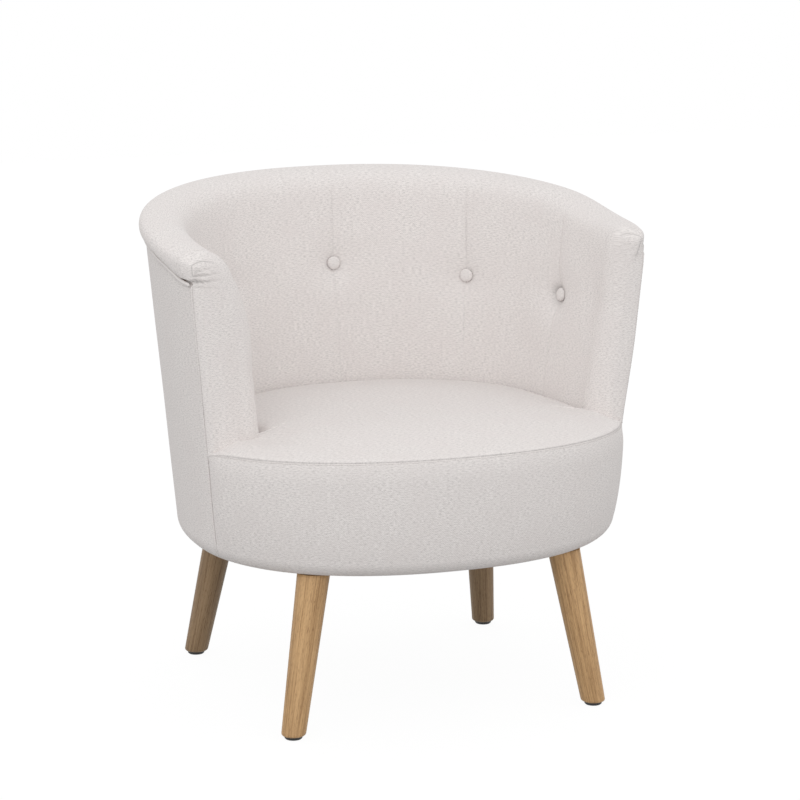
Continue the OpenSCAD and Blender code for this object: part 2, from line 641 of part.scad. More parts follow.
// Toggles that hold the twines behind the board
toggle_l = 24;
toggle_d = 3;
module twine_toggles() {
    for (i = [0:4]) color(oak) on_tuft(i) translate([0, -toggle_l / 2, -board_depth - 3 * gap - toggle_d / 2])
        rotate([-90, 0, 0]) cylinder(d = toggle_d, h = toggle_l);
}

// Legs, from the left front round to the right rear: foot, then top
front_foot = [side_r - front_foot_in, mid_y - front_r + front_foot_back];
rear_foot = [side_r - rear_foot_in, mid_y + back_r - rear_foot_forward];
leg_feet = [[-front_foot[0], front_foot[1]], front_foot, [-rear_foot[0], rear_foot[1]], rear_foot];
leg_places = [for (p = leg_feet) p[1] < mid_y ? [p[0] - sign(p[0]) * front_splay_x, p[1] + front_splay_y]
    : [p[0] - sign(p[0]) * rear_splay_x, p[1] - rear_splay_y]];
leg_top_z = base_z - gap;
foot_z = glide_h;

// Children lie along a leg's axis, from its foot at the floor up
module along_leg(i) {
    foot = leg_feet[i];
    top = leg_places[i];
    v = [top[0] - foot[0], top[1] - foot[1], leg_top_z];
    translate([foot[0], foot[1], 0]) rotate([0, acos(v[2] / norm(v)), atan2(v[1], v[0])]) children();
}

// Tapered leg: cut level at its top and foot, with holes for its bolt and nail
module leg(i) {
    slope = (leg_top_d - leg_foot_d) / 2 / leg_top_z;
    over = 30;
    color(oak) difference() {
        along_leg(i) rotate([0, 0, 90]) translate([0, 0, -over])
            cylinder(r1 = leg_foot_d / 2 - slope * over, r2 = leg_top_d / 2 + slope * over,
                h = leg_top_z + 2 * over, $fn = 72);
        translate([-big / 2, -big / 2, foot_z - big]) cube([big, big, big]);
        translate([-big / 2, -big / 2, leg_top_z]) cube([big, big, big]);
        translate([leg_places[i][0], leg_places[i][1], leg_top_z - bolt_in_leg - 1])
            cylinder(d = bolt_d + 2 * hole_gap, h = big);
        translate([foot_at(i)[0], foot_at(i)[1], 0]) cylinder(d = nail_d + 2 * hole_gap, h = foot_z + nail_l + 1);
    }
}

// Middle of a leg's cut foot
function foot_at(i) = mix(leg_feet[i], leg_places[i], foot_z / leg_top_z);

// Black glide under a leg, held by its nail
module glide(i) {
    lip = glide_h * 0.3;
    color(felt) translate([foot_at(i)[0], foot_at(i)[1], 0]) difference() {
        rotate_extrude() polygon([[0, 0], [glide_d / 2 - lip, 0], [glide_d / 2, lip], [glide_d / 2, glide_h], [0, glide_h]]);
        translate([0, 0, glide_h / 2]) cylinder(d = nail_d + 2 * hole_gap, h = glide_h);
    }
}

module glide_nails() {
    for (i = [0:3]) color(steel) translate([foot_at(i)[0], foot_at(i)[1], glide_h / 2])
        cylinder(d = nail_d, h = glide_h / 2 + nail_l);
}

// Hanger bolts: from the legs up through both base rings into the tee nuts
tee_barrel_d = bolt_d + 3;
tee_barrel_l = 12;
tee_flange_t = 1.5;
module hanger_bolts() {
    for (p = leg_places) color(steel) translate([p[0], p[1], leg_top_z - bolt_in_leg])
        cylinder(d = bolt_d, h = ring_top_z - leg_top_z + bolt_in_leg + tee_flange_t);
}

// Tee nuts grown by a clearance, which also cut their seats
module tee_nut_shapes(grow) {
    for (p = leg_places) translate([p[0], p[1], ring_top_z - tee_barrel_l]) {
        cylinder(d = tee_barrel_d + 2 * grow, h = tee_barrel_l);
        translate([0, 0, tee_barrel_l]) cylinder(d = tee_flange_d, h = tee_flange_t);
        if (grow > 0) translate([0, 0, -ply_t]) cylinder(d = bolt_d + 1, h = big);
    }
}

module tee_nuts() {
    color(steel) difference() {
        tee_nut_shapes(0);
        for (p = leg_places) translate([p[0], p[1], 0]) cylinder(d = bolt_d + 2 * hole_gap, h = big);
    }
}

// Countersunk screw along +Z, its head's face at z = 0 and its shank below
module screw_shape(l, grow) {
    head = screw_d * 2;
    translate([0, 0, -l]) cylinder(d = screw_d + 2 * grow, h = l);
    translate([0, 0, -screw_d / 2]) cylinder(d1 = screw_d, d2 = head + 2 * grow, h = screw_d / 2 + grow / 2);
}

// Two screws through each post into the edge of the seat ring
module post_screw_shapes(a, grow) {
    for (x = [-1, 1]) at_wall(a, seat_ring_z + ply_t / 2, post_in)
        translate([x * post_w / 4, 0, 0]) rotate([-90, 0, 0]) screw_shape(post_screw_l, grow);
}

// One screw down through the top rail into each post, its head sunk in the rail
rail_screw_l = 50;
module rail_screw_shape(a, grow) {
    translate(rim(a, post_in + post_t / 2, -rail_drop - 1.5)) rotate([0, 0, -facing_of(a)])
        rotate([-flare_angle, 0, 0]) {
            screw_shape(rail_screw_l, grow);
            if (grow > 0) cylinder(d = 2 * screw_d + 2 * grow, h = 5);
        }
}

module post_screws() {
    color(steel) for (a = post_angles) {
        post_screw_shapes(a, 0);
        rail_screw_shape(a, 0);
    }
}

// Screws that clamp the base rings together
ring_screw_angles = [0, 30, 62, 96, 150, 180, -30, -62, -96, -150];
module ring_screw_shapes(grow) {
    for (a = ring_screw_angles) translate(wall(a, ring_top_z, frame_in + base_ring_w * 0.7))
        screw_shape(2 * ply_t - 4, grow);
}

module ring_screws() {
    color(steel) ring_screw_shapes(0);
}

outside_cover();
inside_back_cover();
arm_facing(-1);  // arm_facing_left
arm_facing(1);  // arm_facing_right
seat_cover();
seat_front_band();
dust_cover();
back_button(0);  // back_button_far_left
back_button(1);  // back_button_left
back_button(2);  // back_button_centre
back_button(3);  // back_button_right
back_button(4);  // back_button_far_right
button_twines();
twine_toggles();
back_foam();
seat_foam();
inner_back_board();
outer_back_board();
front_board();
top_rail();
post(post_angles[0]);  // arm_post_left
post(post_angles[1]);  // back_post_left
post(post_angles[2]);  // back_post_centre
post(post_angles[3]);  // back_post_right
post(post_angles[4]);  // arm_post_right
seat_ring();
base_ring_upper();
base_ring_lower();
spacer_blocks();
webbing_lengthwise();
webbing_crosswise();
leg(0);  // leg_front_left
leg(1);  // leg_front_right
leg(2);  // leg_rear_left
leg(3);  // leg_rear_right
glide(0);  // glide_front_left
glide(1);  // glide_front_right
glide(2);  // glide_rear_left
glide(3);  // glide_rear_right
glide_nails();
hanger_bolts();
tee_nuts();
post_screws();
ring_screws();
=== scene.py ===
"""Looks of the upholstered barrel chair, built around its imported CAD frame. Metres, +Z up, front towards -Y."""

import json
import math
from math import pi

import bmesh
import bpy
import numpy as np
from mathutils import Matrix, Vector


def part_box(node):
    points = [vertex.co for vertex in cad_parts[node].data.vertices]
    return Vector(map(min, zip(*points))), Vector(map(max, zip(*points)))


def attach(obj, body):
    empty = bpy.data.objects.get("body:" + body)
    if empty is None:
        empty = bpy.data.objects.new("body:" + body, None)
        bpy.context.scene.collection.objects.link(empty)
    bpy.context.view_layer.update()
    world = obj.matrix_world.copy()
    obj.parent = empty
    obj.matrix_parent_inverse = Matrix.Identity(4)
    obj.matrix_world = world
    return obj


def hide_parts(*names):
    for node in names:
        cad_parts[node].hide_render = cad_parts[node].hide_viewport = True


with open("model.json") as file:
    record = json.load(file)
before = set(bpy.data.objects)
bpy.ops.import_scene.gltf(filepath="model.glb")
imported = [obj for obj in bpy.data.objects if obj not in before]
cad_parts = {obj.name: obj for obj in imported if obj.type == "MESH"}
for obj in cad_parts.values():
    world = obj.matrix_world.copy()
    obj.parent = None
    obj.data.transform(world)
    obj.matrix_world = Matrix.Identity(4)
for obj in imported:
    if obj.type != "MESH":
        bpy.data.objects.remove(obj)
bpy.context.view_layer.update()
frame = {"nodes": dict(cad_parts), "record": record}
scene = bpy.context.scene

# Sizes, as in the CAD
RIM, SEAM, BASE = 0.722, 0.400, 0.230
SIDE, FRONT, BACK, POWER = 0.329, 0.281, 0.317, 2.24
FLARE, TILT = math.tan(math.radians(5.4)), math.tan(math.radians(7.3))
ARM_END, SEAM_END, FACING = 103.5, 107.0, 5.2
EDGE, HEM = 0.026, 0.018
T_SEAT, T_TOP, QUILT = 0.074, 0.062, 0.018
LIP_OUT, LIP_H, DROOP, ROLL = 0.007, 0.023, 0.012, 0.036
CROWN, DROP, PUFF, LAP = 0.017, 0.008, 0.004, 0.0022
SINK, PILLOW = 0.011, 0.003
TUFTS = [(-79.0, 0.551), (-40.0, 0.561), (0.0, 0.582), (40.0, 0.561), (79.0, 0.551)]
BUTTON_R, BUTTON_H = 0.010, 0.0065
LEAN = math.atan(FLARE + (T_SEAT - T_TOP) / (RIM - ROLL - SEAM))
RIDGE = (T_TOP - LIP_OUT) / 2

# What the cloth does beside the even shape. Left: a thicker arm end. Right: an arm end that turns away into a soft
# round, a rim that dips before it, and a fuller flank. Front: the seat's edge is a soft shoulder
LEFT_FROM, LEFT_TOP, LEFT_FOOT, LEFT_SWELL, LEFT_START = 83, 0.015, 0.021, 0.006, 0.010
RIGHT_FULL, RIGHT_SLIM = 0.003, 0.026
FLANK, DIP, SHOULDER, SHOULDER_H = 0.0062, 0.0065, 0.0050, 0.032
SIDE_TUFT, SIDE_SINK = 70, 0.007
GAP, EAR_GAP = 0.019, 0.0114
CLOTH_SLACK, CLOTH_CAP = 0.003, 0.0022
THICK, FOAM = 0.0018, 0.012


def back_rim_z(r, dz):
    return (RIM + dz - TILT * (FLARE * RIM - RIDGE + r)) / (1 - TILT * FLARE)


# The plan is centred between the furthest points of its back and its front
BAND_H = SEAM - LAP - BASE - EDGE
BACK_REACH = max(BACK + FLARE * (back_rim_z(r, dz) - SEAM) - r
                 for r, dz in ((0.0005 - LIP_OUT, -LIP_H), (-LIP_OUT, -0.62 * LIP_H), (-LIP_OUT / 2, -0.006)))
FRONT_REACH = max(FRONT + FLARE * (BASE + EDGE + t * BAND_H - SEAM) + PUFF * math.sin(pi * t ** 0.8)
        for t in (0, 0.35, 0.7, 1))
MID_Y = (FRONT_REACH - BACK_REACH) / 2
RIDGE_Y = BACK + FLARE * (RIM - SEAM) - RIDGE + MID_Y
CENTRE = np.array([0, MID_Y, 0.0])


def mix(a, b, t):
    return a + (b - a) * t


def ease(t):
    t = np.clip(t, 0, 1)
    return t * t * (3 - 2 * t)


def bell(x, width, power=2):
    return np.exp(-(x / width) ** power)


def across(rows):
    """Rows of points as a grid [station][row]."""
    return np.stack(rows).transpose(1, 0, 2)


def join(*parts, axis=0):
    return np.concatenate(parts, axis)


def length(v):
    return np.linalg.norm(v, axis=-1)


def circle(n):
    return np.linspace(0, 2 * pi, n, endpoint=False)


def arcs(points):
    """Distance run along a line of points."""
    return join([0], np.cumsum(length(np.diff(points, axis=0))))


# Plan and rim, for arrays of angles in degrees from the middle of the back towards the right arm, with r inwards
# from the outer face
def bent(v):
    return np.sign(v) * np.abs(v) ** (2 / POWER)


def wall(a, z, r):
    a, z, r = np.broadcast_arrays(np.asarray(a, float), z, r)
    k = FLARE * (z - SEAM) - r
    c = np.cos(np.radians(a))
    x = (SIDE + k) * bent(np.sin(np.radians(a)))
    y = (np.where(c > 0, BACK, FRONT) + k) * bent(c) + MID_Y
    return np.stack([x, y, z], -1)


def rim(a, r, dz):
    a, r, dz = np.broadcast_arrays(np.asarray(a, float), r, dz)
    cosine = np.cos(np.radians(a))
    c = bent(cosine)
    foot = (np.where(cosine > 0, BACK, FRONT) - FLARE * SEAM - r) * c + MID_Y
    return wall(a, (RIM + dz - TILT * (RIDGE_Y - foot)) / (1 - TILT * FLARE * c), r)


def lip_z(a):
    return LIP_H + DROOP * np.clip((np.abs(a) - ARM_END + 22) / 22, 0, 1) ** 2


def roll_z(a):
    return rim(a, T_TOP, -ROLL)[..., 2]


def left_share(a):
    return ease((-a - LEFT_FROM) / (ARM_END - LEFT_FROM))


def right_pad(a):
    return RIGHT_FULL * ease((a - 60) / 20) - RIGHT_SLIM * ease((a - 79) / 31)


def top_t(a):
    return T_TOP + LEFT_TOP * left_share(a) + 0.6 * right_pad(a)


def seat_t(a):
    return T_SEAT + LEFT_FOOT * left_share(a) + right_pad(a)


def quilt_in(t, share):
    """Inner face of the quilted cover, where the cover is t thick in all."""
    return np.maximum(t - QUILT, mix(T_TOP, T_SEAT, share) - 0.0262)


def flank(a, z):
    return FLANK * bell(a - 102, 9) * ease((z - 0.36) / 0.16)


def seat_share(a, z):
    top = roll_z(a)
    return np.clip((top - z) / (top - SEAM), 0, 1)


def face_in(a, z):
    share = seat_share(a, z)
    ends = mix(top_t(a) - T_TOP, seat_t(a) - T_SEAT, np.minimum(1, 3 * share))
    return mix(T_TOP, T_SEAT, share) + ends + LEFT_SWELL * left_share(a) * np.sin(np.pi * np.minimum(1, 1.6 * share))


def seat_top(p):
    x, y = p[..., 0], p[..., 1] - MID_Y
    n = (np.abs(x / SIDE) ** POWER + np.abs(y / np.where(y > 0, BACK, FRONT)) ** POWER) ** (1 / POWER)
    side = np.clip((1 - np.maximum(0, -y) / FRONT) / (1 + math.cos(math.radians(SEAM_END))), 0, 1)
    return SEAM + CROWN - (CROWN + DROP * side) * np.minimum(1.05, n) ** 3


def seam_at(a):
    return seat_top(wall(a, SEAM, 0.0003))


def shoulder(a):
    return SHOULDER * ease((180 - SEAM_END - np.abs(a - 180)) / 6 + 0.15)


# Distance along the inside of the wall, from the middle of the back
TABLE_A = np.linspace(-112, 112, 2241)
TABLE_S = arcs(wall(TABLE_A, 0.55, 0.066))
TABLE_S -= np.interp(0, TABLE_A, TABLE_S)


def along(a):
    return np.interp(a, TABLE_A, TABLE_S)


def angles_at(s):
    """Angles at distances that run from arm end to arm end."""
    a = np.interp(s, TABLE_S, TABLE_A)
    a[[0, -1]] = -ARM_END, ARM_END
    return a


def spline_rows(points, knots, ts):
    """Natural cubic spline through rows of points at the knots, read at ts."""
    n, h = len(knots), np.diff(knots)
    one, d = np.eye(n), np.zeros((n, n))
    m = one.copy()
    for i in range(1, n - 1):
        m[i, i - 1:i + 2] = h[i - 1], 2 * (h[i - 1] + h[i]), h[i]
        d[i, i - 1:i + 2] = 6 / h[i - 1], -6 / h[i - 1] - 6 / h[i], 6 / h[i]
    bend = np.linalg.solve(m, d)
    i = np.clip(np.searchsorted(knots, ts, side="right") - 1, 0, n - 2)
    a, b, span = [v[:, None] for v in ((knots[i + 1] - ts) / h[i], (ts - knots[i]) / h[i], h[i])]
    curve = ((a ** 3 - a) * bend[i] + (b ** 3 - b) * bend[i + 1]) * span ** 2 / 6
    return np.tensordot(a * one[i] + b * one[i + 1] + curve, points, axes=1)


def scatter(i, j, seed):
    return np.modf(np.sin(i * 127.1 + j * 269.5 + seed * 311.7) * 43758.5453)[0]


def noise_1d(x, seed, size):
    """Smooth repeatable noise from -1 to 1, in two octaves."""
    out = 0.0
    for k in (0, 1):
        u = np.asarray(x, float) / size * 2 ** k + 17.3 * seed + 5.1 * k
        i = np.floor(u)
        f = ease(u - i)
        out = out + 0.5 ** k * (scatter(i, 0, seed) * (1 - f) + scatter(i + 1, 0, seed) * f)
    return out / 1.5


def noise_2d(x, y, seed, size):
    out = 0.0
    for k in (0, 1):
        u, v = x / size * 2 ** k + 3.7 * seed, y / size * 2 ** k + 9.2 * seed + 31.0 * k
        i, j = np.floor(u), np.floor(v)
        f, g = ease(u - i), ease(v - j)
        near, far = (scatter(i, j + n, seed) * (1 - f) + scatter(i + 1, j + n, seed) * f for n in (0, 1))
        out = out + 0.5 ** k * (near * (1 - g) + far * g)
    return out / 1.5


# Mesh builders
def put(name, data):
    o = bpy.data.objects.new(name, data)
    scene.collection.objects.link(o)
    return o


def read(data, key, size=1, kind=np.float32):
    values = np.zeros(len(data) * size, kind)
    data.foreach_get(key, values)
    return values.reshape(-1, size) if size > 1 else values


def mesh_object(name, points, faces, uvs=None, flat=0):
    """A smooth mesh whose last few faces, flat of them, are flat."""
    me = bpy.data.meshes.new(name)
    me.from_pydata(np.asarray(points, float).reshape(-1, 3).tolist(), [], faces)
    if uvs is not None:
        corners = np.asarray(uvs, np.float32).reshape(-1, 2)[read(me.loops, "vertex_index", kind=int)]
        me.uv_layers.new(name="UVMap").data.foreach_set("uv", corners.ravel())
    me.polygons.foreach_set("use_smooth", np.arange(len(faces)) < len(faces) - flat)
    me.validate()
    me.update()
    return put(name, me)


def outward(o):
    """Turns every face of a closed piece outwards."""
    b = bmesh.new()
    b.from_mesh(o.data)
    bmesh.ops.recalc_face_normals(b, faces=b.faces)
    if b.calc_volume(signed=True) < 0:
        bmesh.ops.reverse_faces(b, faces=b.faces)
    b.to_mesh(o.data)
    b.free()
    return o


def mark(o, name, values, domain="POINT", kind="FLOAT", key="value"):
    """Stores a value for each point or edge, such as the shade painted onto points in folds, creases, seams and gaps.
    """
    o.data.attributes.new(name, kind, domain).data.foreach_set(key, np.asarray(values, np.float32).ravel())


def grid_faces(k, m, base=0, close=False, flip=False):
    """Quads of a grid of k stations with m rows."""
    faces = []
    for i in range(k if close else k - 1):
        a, b = base + i * m, base + ((i + 1) % k) * m
        faces += [(a + j, b + j, b + j + 1, a + j + 1) for j in range(m - 1)]
    return [q[::-1] for q in faces] if flip else faces


def ring_faces(count, n, ends=True):
    """Quads between rings of n points, and a face over the first and the last ring."""
    faces = [(i + j, i + (j + 1) % n, i + n + (j + 1) % n, i + n + j)
             for i in range(0, (count - 1) * n, n) for j in range(n)]
    return faces + [tuple(range(n)), tuple(range((count - 1) * n, count * n))] * ends


def arc_uv(grid):
    """UV in metres from arc lengths: U from station to station, V from row to row."""
    u = arcs(grid[:, grid.shape[1] // 2])
    return np.stack([np.broadcast_to((u - u.mean())[:, None], grid.shape[:2]), [arcs(row) for row in grid]],
            -1).reshape(-1, 2)


def shell(name, outer, inner, flip=False):
    """A closed piece: a fine outer grid [station][row], and a coarse inner grid with the same stations."""
    k, m, n = *outer.shape[:2], inner.shape[1]
    o = k * m
    faces = grid_faces(k, m, 0, flip=flip) + grid_faces(k, n, o, flip=not flip)
    for a, c in zip(range(0, o - m, m), range(o, o + (k - 1) * n, n)):
        rims = [(a, c, c + n, a + m), (a + m - 1, a + 2 * m - 1, c + 2 * n - 1, c + n - 1)]
        faces += [q[::-1] for q in rims] if flip else rims
    faces += [(*range(i * m, i * m + m), *range(o + i * n + n - 1, o + i * n - 1, -1)) for i in (0, k - 1)]
    return mesh_object(name, join(outer.reshape(-1, 3), inner.reshape(-1, 3)), faces,
            join(arc_uv(outer), arc_uv(inner)), flat=2)


def pad(name, columns, low, top, mapped=False):
    """A closed piece from columns that stand round it, with a point that closes each end."""
    k, m = columns.shape[:2]
    points = join(columns.reshape(-1, 3), [low, top])
    faces = grid_faces(k, m, close=True)
    for i in range(k):
        j = (i + 1) % k
        faces += [(i * m + m - 1, j * m + m - 1, k * m + 1), (j * m, i * m, k * m)]
    return mesh_object(name, points, faces, points[:, :2] if mapped else None)


def plain(o, name):
    """The piece as its modifiers make it, as a plain mesh under a new name."""
    made = bpy.data.meshes.new_from_object(o.evaluated_get(bpy.context.evaluated_depsgraph_get()))
    made.name = name
    bpy.data.objects.remove(o)
    return put(name, made)


# Materials
class Tree:
    """Node tree in which an input given as (node, output) is linked, and any other is set."""

    def __init__(self, tree, family="ShaderNode"):
        tree.nodes.clear()
        self.tree, self.family = tree, family

    def add(self, kind, inputs=None, **settings):
        n = self.tree.nodes.new(kind if "Node" in kind else self.family + kind)
        for key, value in settings.items():
            setattr(n, key, value)
        return self.fill(n, inputs or {})

    def fill(self, n, inputs):
        for key, value in inputs.items():
            if isinstance(value, tuple) and hasattr(value[0], "outputs"):
                self.tree.links.new(value[0].outputs[value[1]], n.inputs[key])
            else:
                n.inputs[key].default_value = value
        return n

    def math(self, kind, *values):
        return self.add("Math", dict(enumerate(values)), operation=kind), 0

    def vector(self, kind, inputs):
        return self.add("VectorMath", inputs, operation=kind), 0

    def noise(self, place, scale=1.0, detail=1.0, rough=0.5, out="Fac"):
        return self.add("TexNoise", {"Vector": place, "Scale": scale, "Detail": detail, "Roughness": rough}), out

    def stretched(self, place, scales):
        return self.add("Mapping", {"Vector": place, "Scale": scales}), "Vector"

    def ramp(self, source, *stops):
        n = self.add("ValToRGB", {"Fac": source})
        while len(n.color_ramp.elements) < len(stops):
            n.color_ramp.elements.new(0.5)
        for e, (at, colour) in zip(n.color_ramp.elements, stops):
            e.position, e.color = at, (*colour, 1)
        return n, "Color"

    def blend(self, kind, share, a, b):
        return self.add("Mix", {0: share, 6: a, 7: b}, data_type="RGBA", blend_type=kind), 2


class Skin(Tree):
    def __init__(self, name):
        self.mat = bpy.data.materials.new(name)
        self.mat.use_nodes = True
        super().__init__(self.mat.node_tree)
        self.skin = self.add("BsdfPrincipled")
        self.out = self.add("OutputMaterial", {"Surface": (self.skin, "BSDF")})

    def finish(self, height=None, strength=0.4, distance=0.0003, **values):
        """Sets the skin's values and its relief, and gives the material."""
        if height:
            bump = self.add("Bump", {"Strength": strength, "Distance": distance, "Height": height})
            values["Normal"] = (bump, "Normal")
        self.fill(self.skin, {key.replace("_", " "): value for key, value in values.items()})
        return self.mat


def fabric(name, colour, tint, pitch=0.0016, grain=1.0, source="UV"):
    """Plain-woven heathered cloth: crossed threads, slubs both ways, soft mottling and a little sheen, with shade
    painted in where a point attribute marks folds, creases, seams and gaps.
    """
    g = Skin(name)
    place = (g.add("TexCoord"), source)
    wander = g.vector("SUBTRACT", {0: g.noise(place, 260.0, out="Color"), 1: (0.5, 0.5, 0.5)})
    wander = g.vector("SCALE", {0: wander, "Scale": pitch * 0.8})
    split = g.add("SeparateXYZ", {0: g.vector("ADD", {0: place, 1: wander})})
    threads = [g.math("SINE", g.math("MULTIPLY", (split, axis), pi / pitch)) for axis in ("X", "Y")]
    weave = g.math("MULTIPLY", *threads)
    slubs = [g.math("MULTIPLY", g.noise(g.stretched(place, (*scales, 300.0)), rough=0.7), share)
             for scales, share in (((190.0, 820.0), 0.68), ((900.0, 400.0), 0.32))]
    both = g.math("ADD", *slubs)
    dark = tuple(c * (1 - 0.21 * grain) for c in colour)
    pale = tuple(min(1, c * (1 + 0.12 * grain)) for c in colour)
    heather = g.ramp(both, (0.36, dark), (0.5, colour), (0.62, pale))
    cloud = g.ramp(g.noise(place, 22.0, 3.0, 0.55), (0.38, (0, 0, 0)), (0.66, (0.34, 0.34, 0.34)))
    mottled = g.blend("MIX", cloud, heather, (*tint, 1))
    shade = g.math("MULTIPLY_ADD", weave, 0.035 * grain, 1.0)
    woven = g.blend("MULTIPLY", 1.0, mottled, (g.add("CombineColor", {0: shade, 1: shade, 2: shade}), 0))
    # painted shade: where the point attribute marks a fold, crease, seam or gap, the base colour darkens towards a
    # third of itself
    deep = g.math("MULTIPLY", (g.add("Attribute", attribute_name="painted_shade"), "Fac"), 0.75)
    height = g.math("ADD", g.math("MULTIPLY", weave, 0.35), g.math("MULTIPLY", both, 0.9))
    return g.finish(height, 0.35 * grain, 0.0005, Roughness=0.92, Sheen_Weight=0.12, Sheen_Roughness=0.5,
            Specular_IOR_Level=0.2, Base_Color=g.blend("MIX", deep, woven, (*(0.33 * c for c in colour), 1)))


def wood(name, light, deep, turned=False, fine=(900.0, 900.0, 13.0), rough=0.5):
    """Straight-grained wood: broad soft bands, fine growth lines and short open pores, all along the grain."""
    g = Skin(name)
    place = (g.add("Attribute", attribute_name="grain"), "Vector") if turned else (g.add("TexCoord"), "Object")

    def streaks(share, detail, roughness, longer=1.0):
        scales = tuple(s * share * (longer if s == min(fine) else 1) for s in fine)
        return g.noise(g.stretched(place, scales), 1.0, detail, roughness)
    bands, lines, pores = streaks(0.16, 3.0, 0.6, 3.0), streaks(0.8, 3.0, 0.65), streaks(1.6, 1.0, 0.5, 6.0)
    middle = tuple(d + (c - d) * 0.65 for d, c in zip(deep, light))
    base = g.ramp(bands, (0.32, deep), (0.5, middle), (0.64, light))
    lined = g.blend("MULTIPLY", 0.75, base,
            g.ramp(lines, (0.34, (0.50, 0.42, 0.34)), (0.50, (1, 1, 1)), (0.66, (1.0, 0.98, 0.94))))
    pored = g.blend("MULTIPLY", 0.55, lined, g.ramp(pores, (0.33, (0.42, 0.34, 0.27)), (0.42, (1, 1, 1))))
    return g.finish(g.math("ADD", pores, g.math("MULTIPLY", lines, 0.5)), 0.25, 0.0004, Base_Color=pored,
            Roughness=g.math("MULTIPLY_ADD", lines, -0.15, rough + 0.08), Specular_IOR_Level=0.35)


def speckled(name, colour, other, scale, rough, metal=0.0, stretch=(1.0, 1.0, 1.0), relief=0.0003, cells=False):
    """Moulded, pressed, foamed or brushed stuff: two close colours and a matching relief."""
    g = Skin(name)
    place = g.stretched((g.add("TexCoord"), "Object"), stretch)
    texture = (g.add("TexVoronoi", {"Vector": place, "Scale": scale}), "Distance") if cells \
        else g.noise(place, scale, 3.0)
    return g.finish(texture, distance=relief, Base_Color=g.ramp(texture, (0.3, other), (0.65, colour)),
            Roughness=rough, Metallic=metal)


LINEN = (0.780, 0.742, 0.724)
# painted shade: a slightly darker copy of the cover fabric, with a darker mottle, for the outer faces that get less
# light
shaded_side_mat = fabric("cover_fabric_side_shaded", tuple(0.98 * c for c in LINEN), (0.73, 0.682, 0.666))
button_mat = fabric("button_fabric", LINEN, (0.76, 0.715, 0.70), pitch=0.0012, grain=0.8)
thread_mat = speckled("thread", (0.70, 0.66, 0.64), (0.52, 0.49, 0.47), 2500.0, 0.8, relief=0.0001)
# painted shade: a darker copy of the leg wood for the rear legs, which stand in the chair's shadow
shaded_rear_leg_mat = wood("leg_wood_rear_shaded", (0.35, 0.235, 0.133), (0.235, 0.150, 0.080), True)
MATERIALS = {
    "cover_fabric": fabric("cover_fabric", LINEN, (0.75, 0.698, 0.683)),
    "webbing": fabric("webbing", (0.05, 0.05, 0.05), (0.09, 0.085, 0.08), pitch=0.003, source="Object"),
    "leg_wood": wood("leg_wood", (0.64, 0.405, 0.200), (0.44, 0.262, 0.120), True),
    "frame_wood": wood("frame_wood", (0.56, 0.40, 0.24), (0.42, 0.28, 0.15), rough=0.7),
    "plywood": wood("plywood", (0.58, 0.43, 0.27), (0.46, 0.32, 0.18), fine=(14.0, 700.0, 900.0), rough=0.7),
    "hardboard": speckled("hardboard", (0.24, 0.15, 0.08), (0.16, 0.10, 0.055), 900.0, 0.75),
    "padding": speckled("foam", (0.80, 0.72, 0.48), (0.66, 0.57, 0.36), 700.0, 0.95, cells=True),
    "twine": speckled("twine", (0.72, 0.66, 0.55), (0.5, 0.45, 0.36), 1800.0, 0.85),
    "dust_cloth": speckled("dust_cloth", (0.02, 0.02, 0.022), (0.008, 0.008, 0.009), 1400.0, 0.95, relief=0.0004),
    "glide": speckled("glide", (0.018, 0.018, 0.018), (0.009, 0.009, 0.009), 1200.0, 0.5),
    "steel": speckled("steel", (0.62, 0.63, 0.65), (0.48, 0.49, 0.51), 500.0, 0.35, 1.0, (1.0, 1.0, 9.0), 0.00005)}
for part in frame["record"]["subparts"]:
    slots = frame["nodes"][part["node"]].data.materials
    slots.clear()
    slots.append(MATERIALS[part["material_slot"]])


def done(o, *replaced, slot="cover_fabric", mat=None, fill=None):
    outward(o).data.materials.append(mat or MATERIALS[slot])
    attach(o, "root")
    if replaced:
        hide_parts(*replaced)
    return o


# Tufts, pleats and swell of the inside back, as a depth in metres towards the sitter, and how much shade is painted
# into each fold.
# Each pleat has its lean, and its strength above and below the button
PLEATS = [(0.02, 0.35, 0.30), (0.03, 0.15, 0.30), (0.0, 0.60, 0.45), (-0.03, 1.0, 0.45), (-0.02, 0.75, 0.40)]


def at_side(a):
    return abs(a) > SIDE_TUFT


def sink_at(a):
    return SINK + SIDE_SINK * at_side(a)


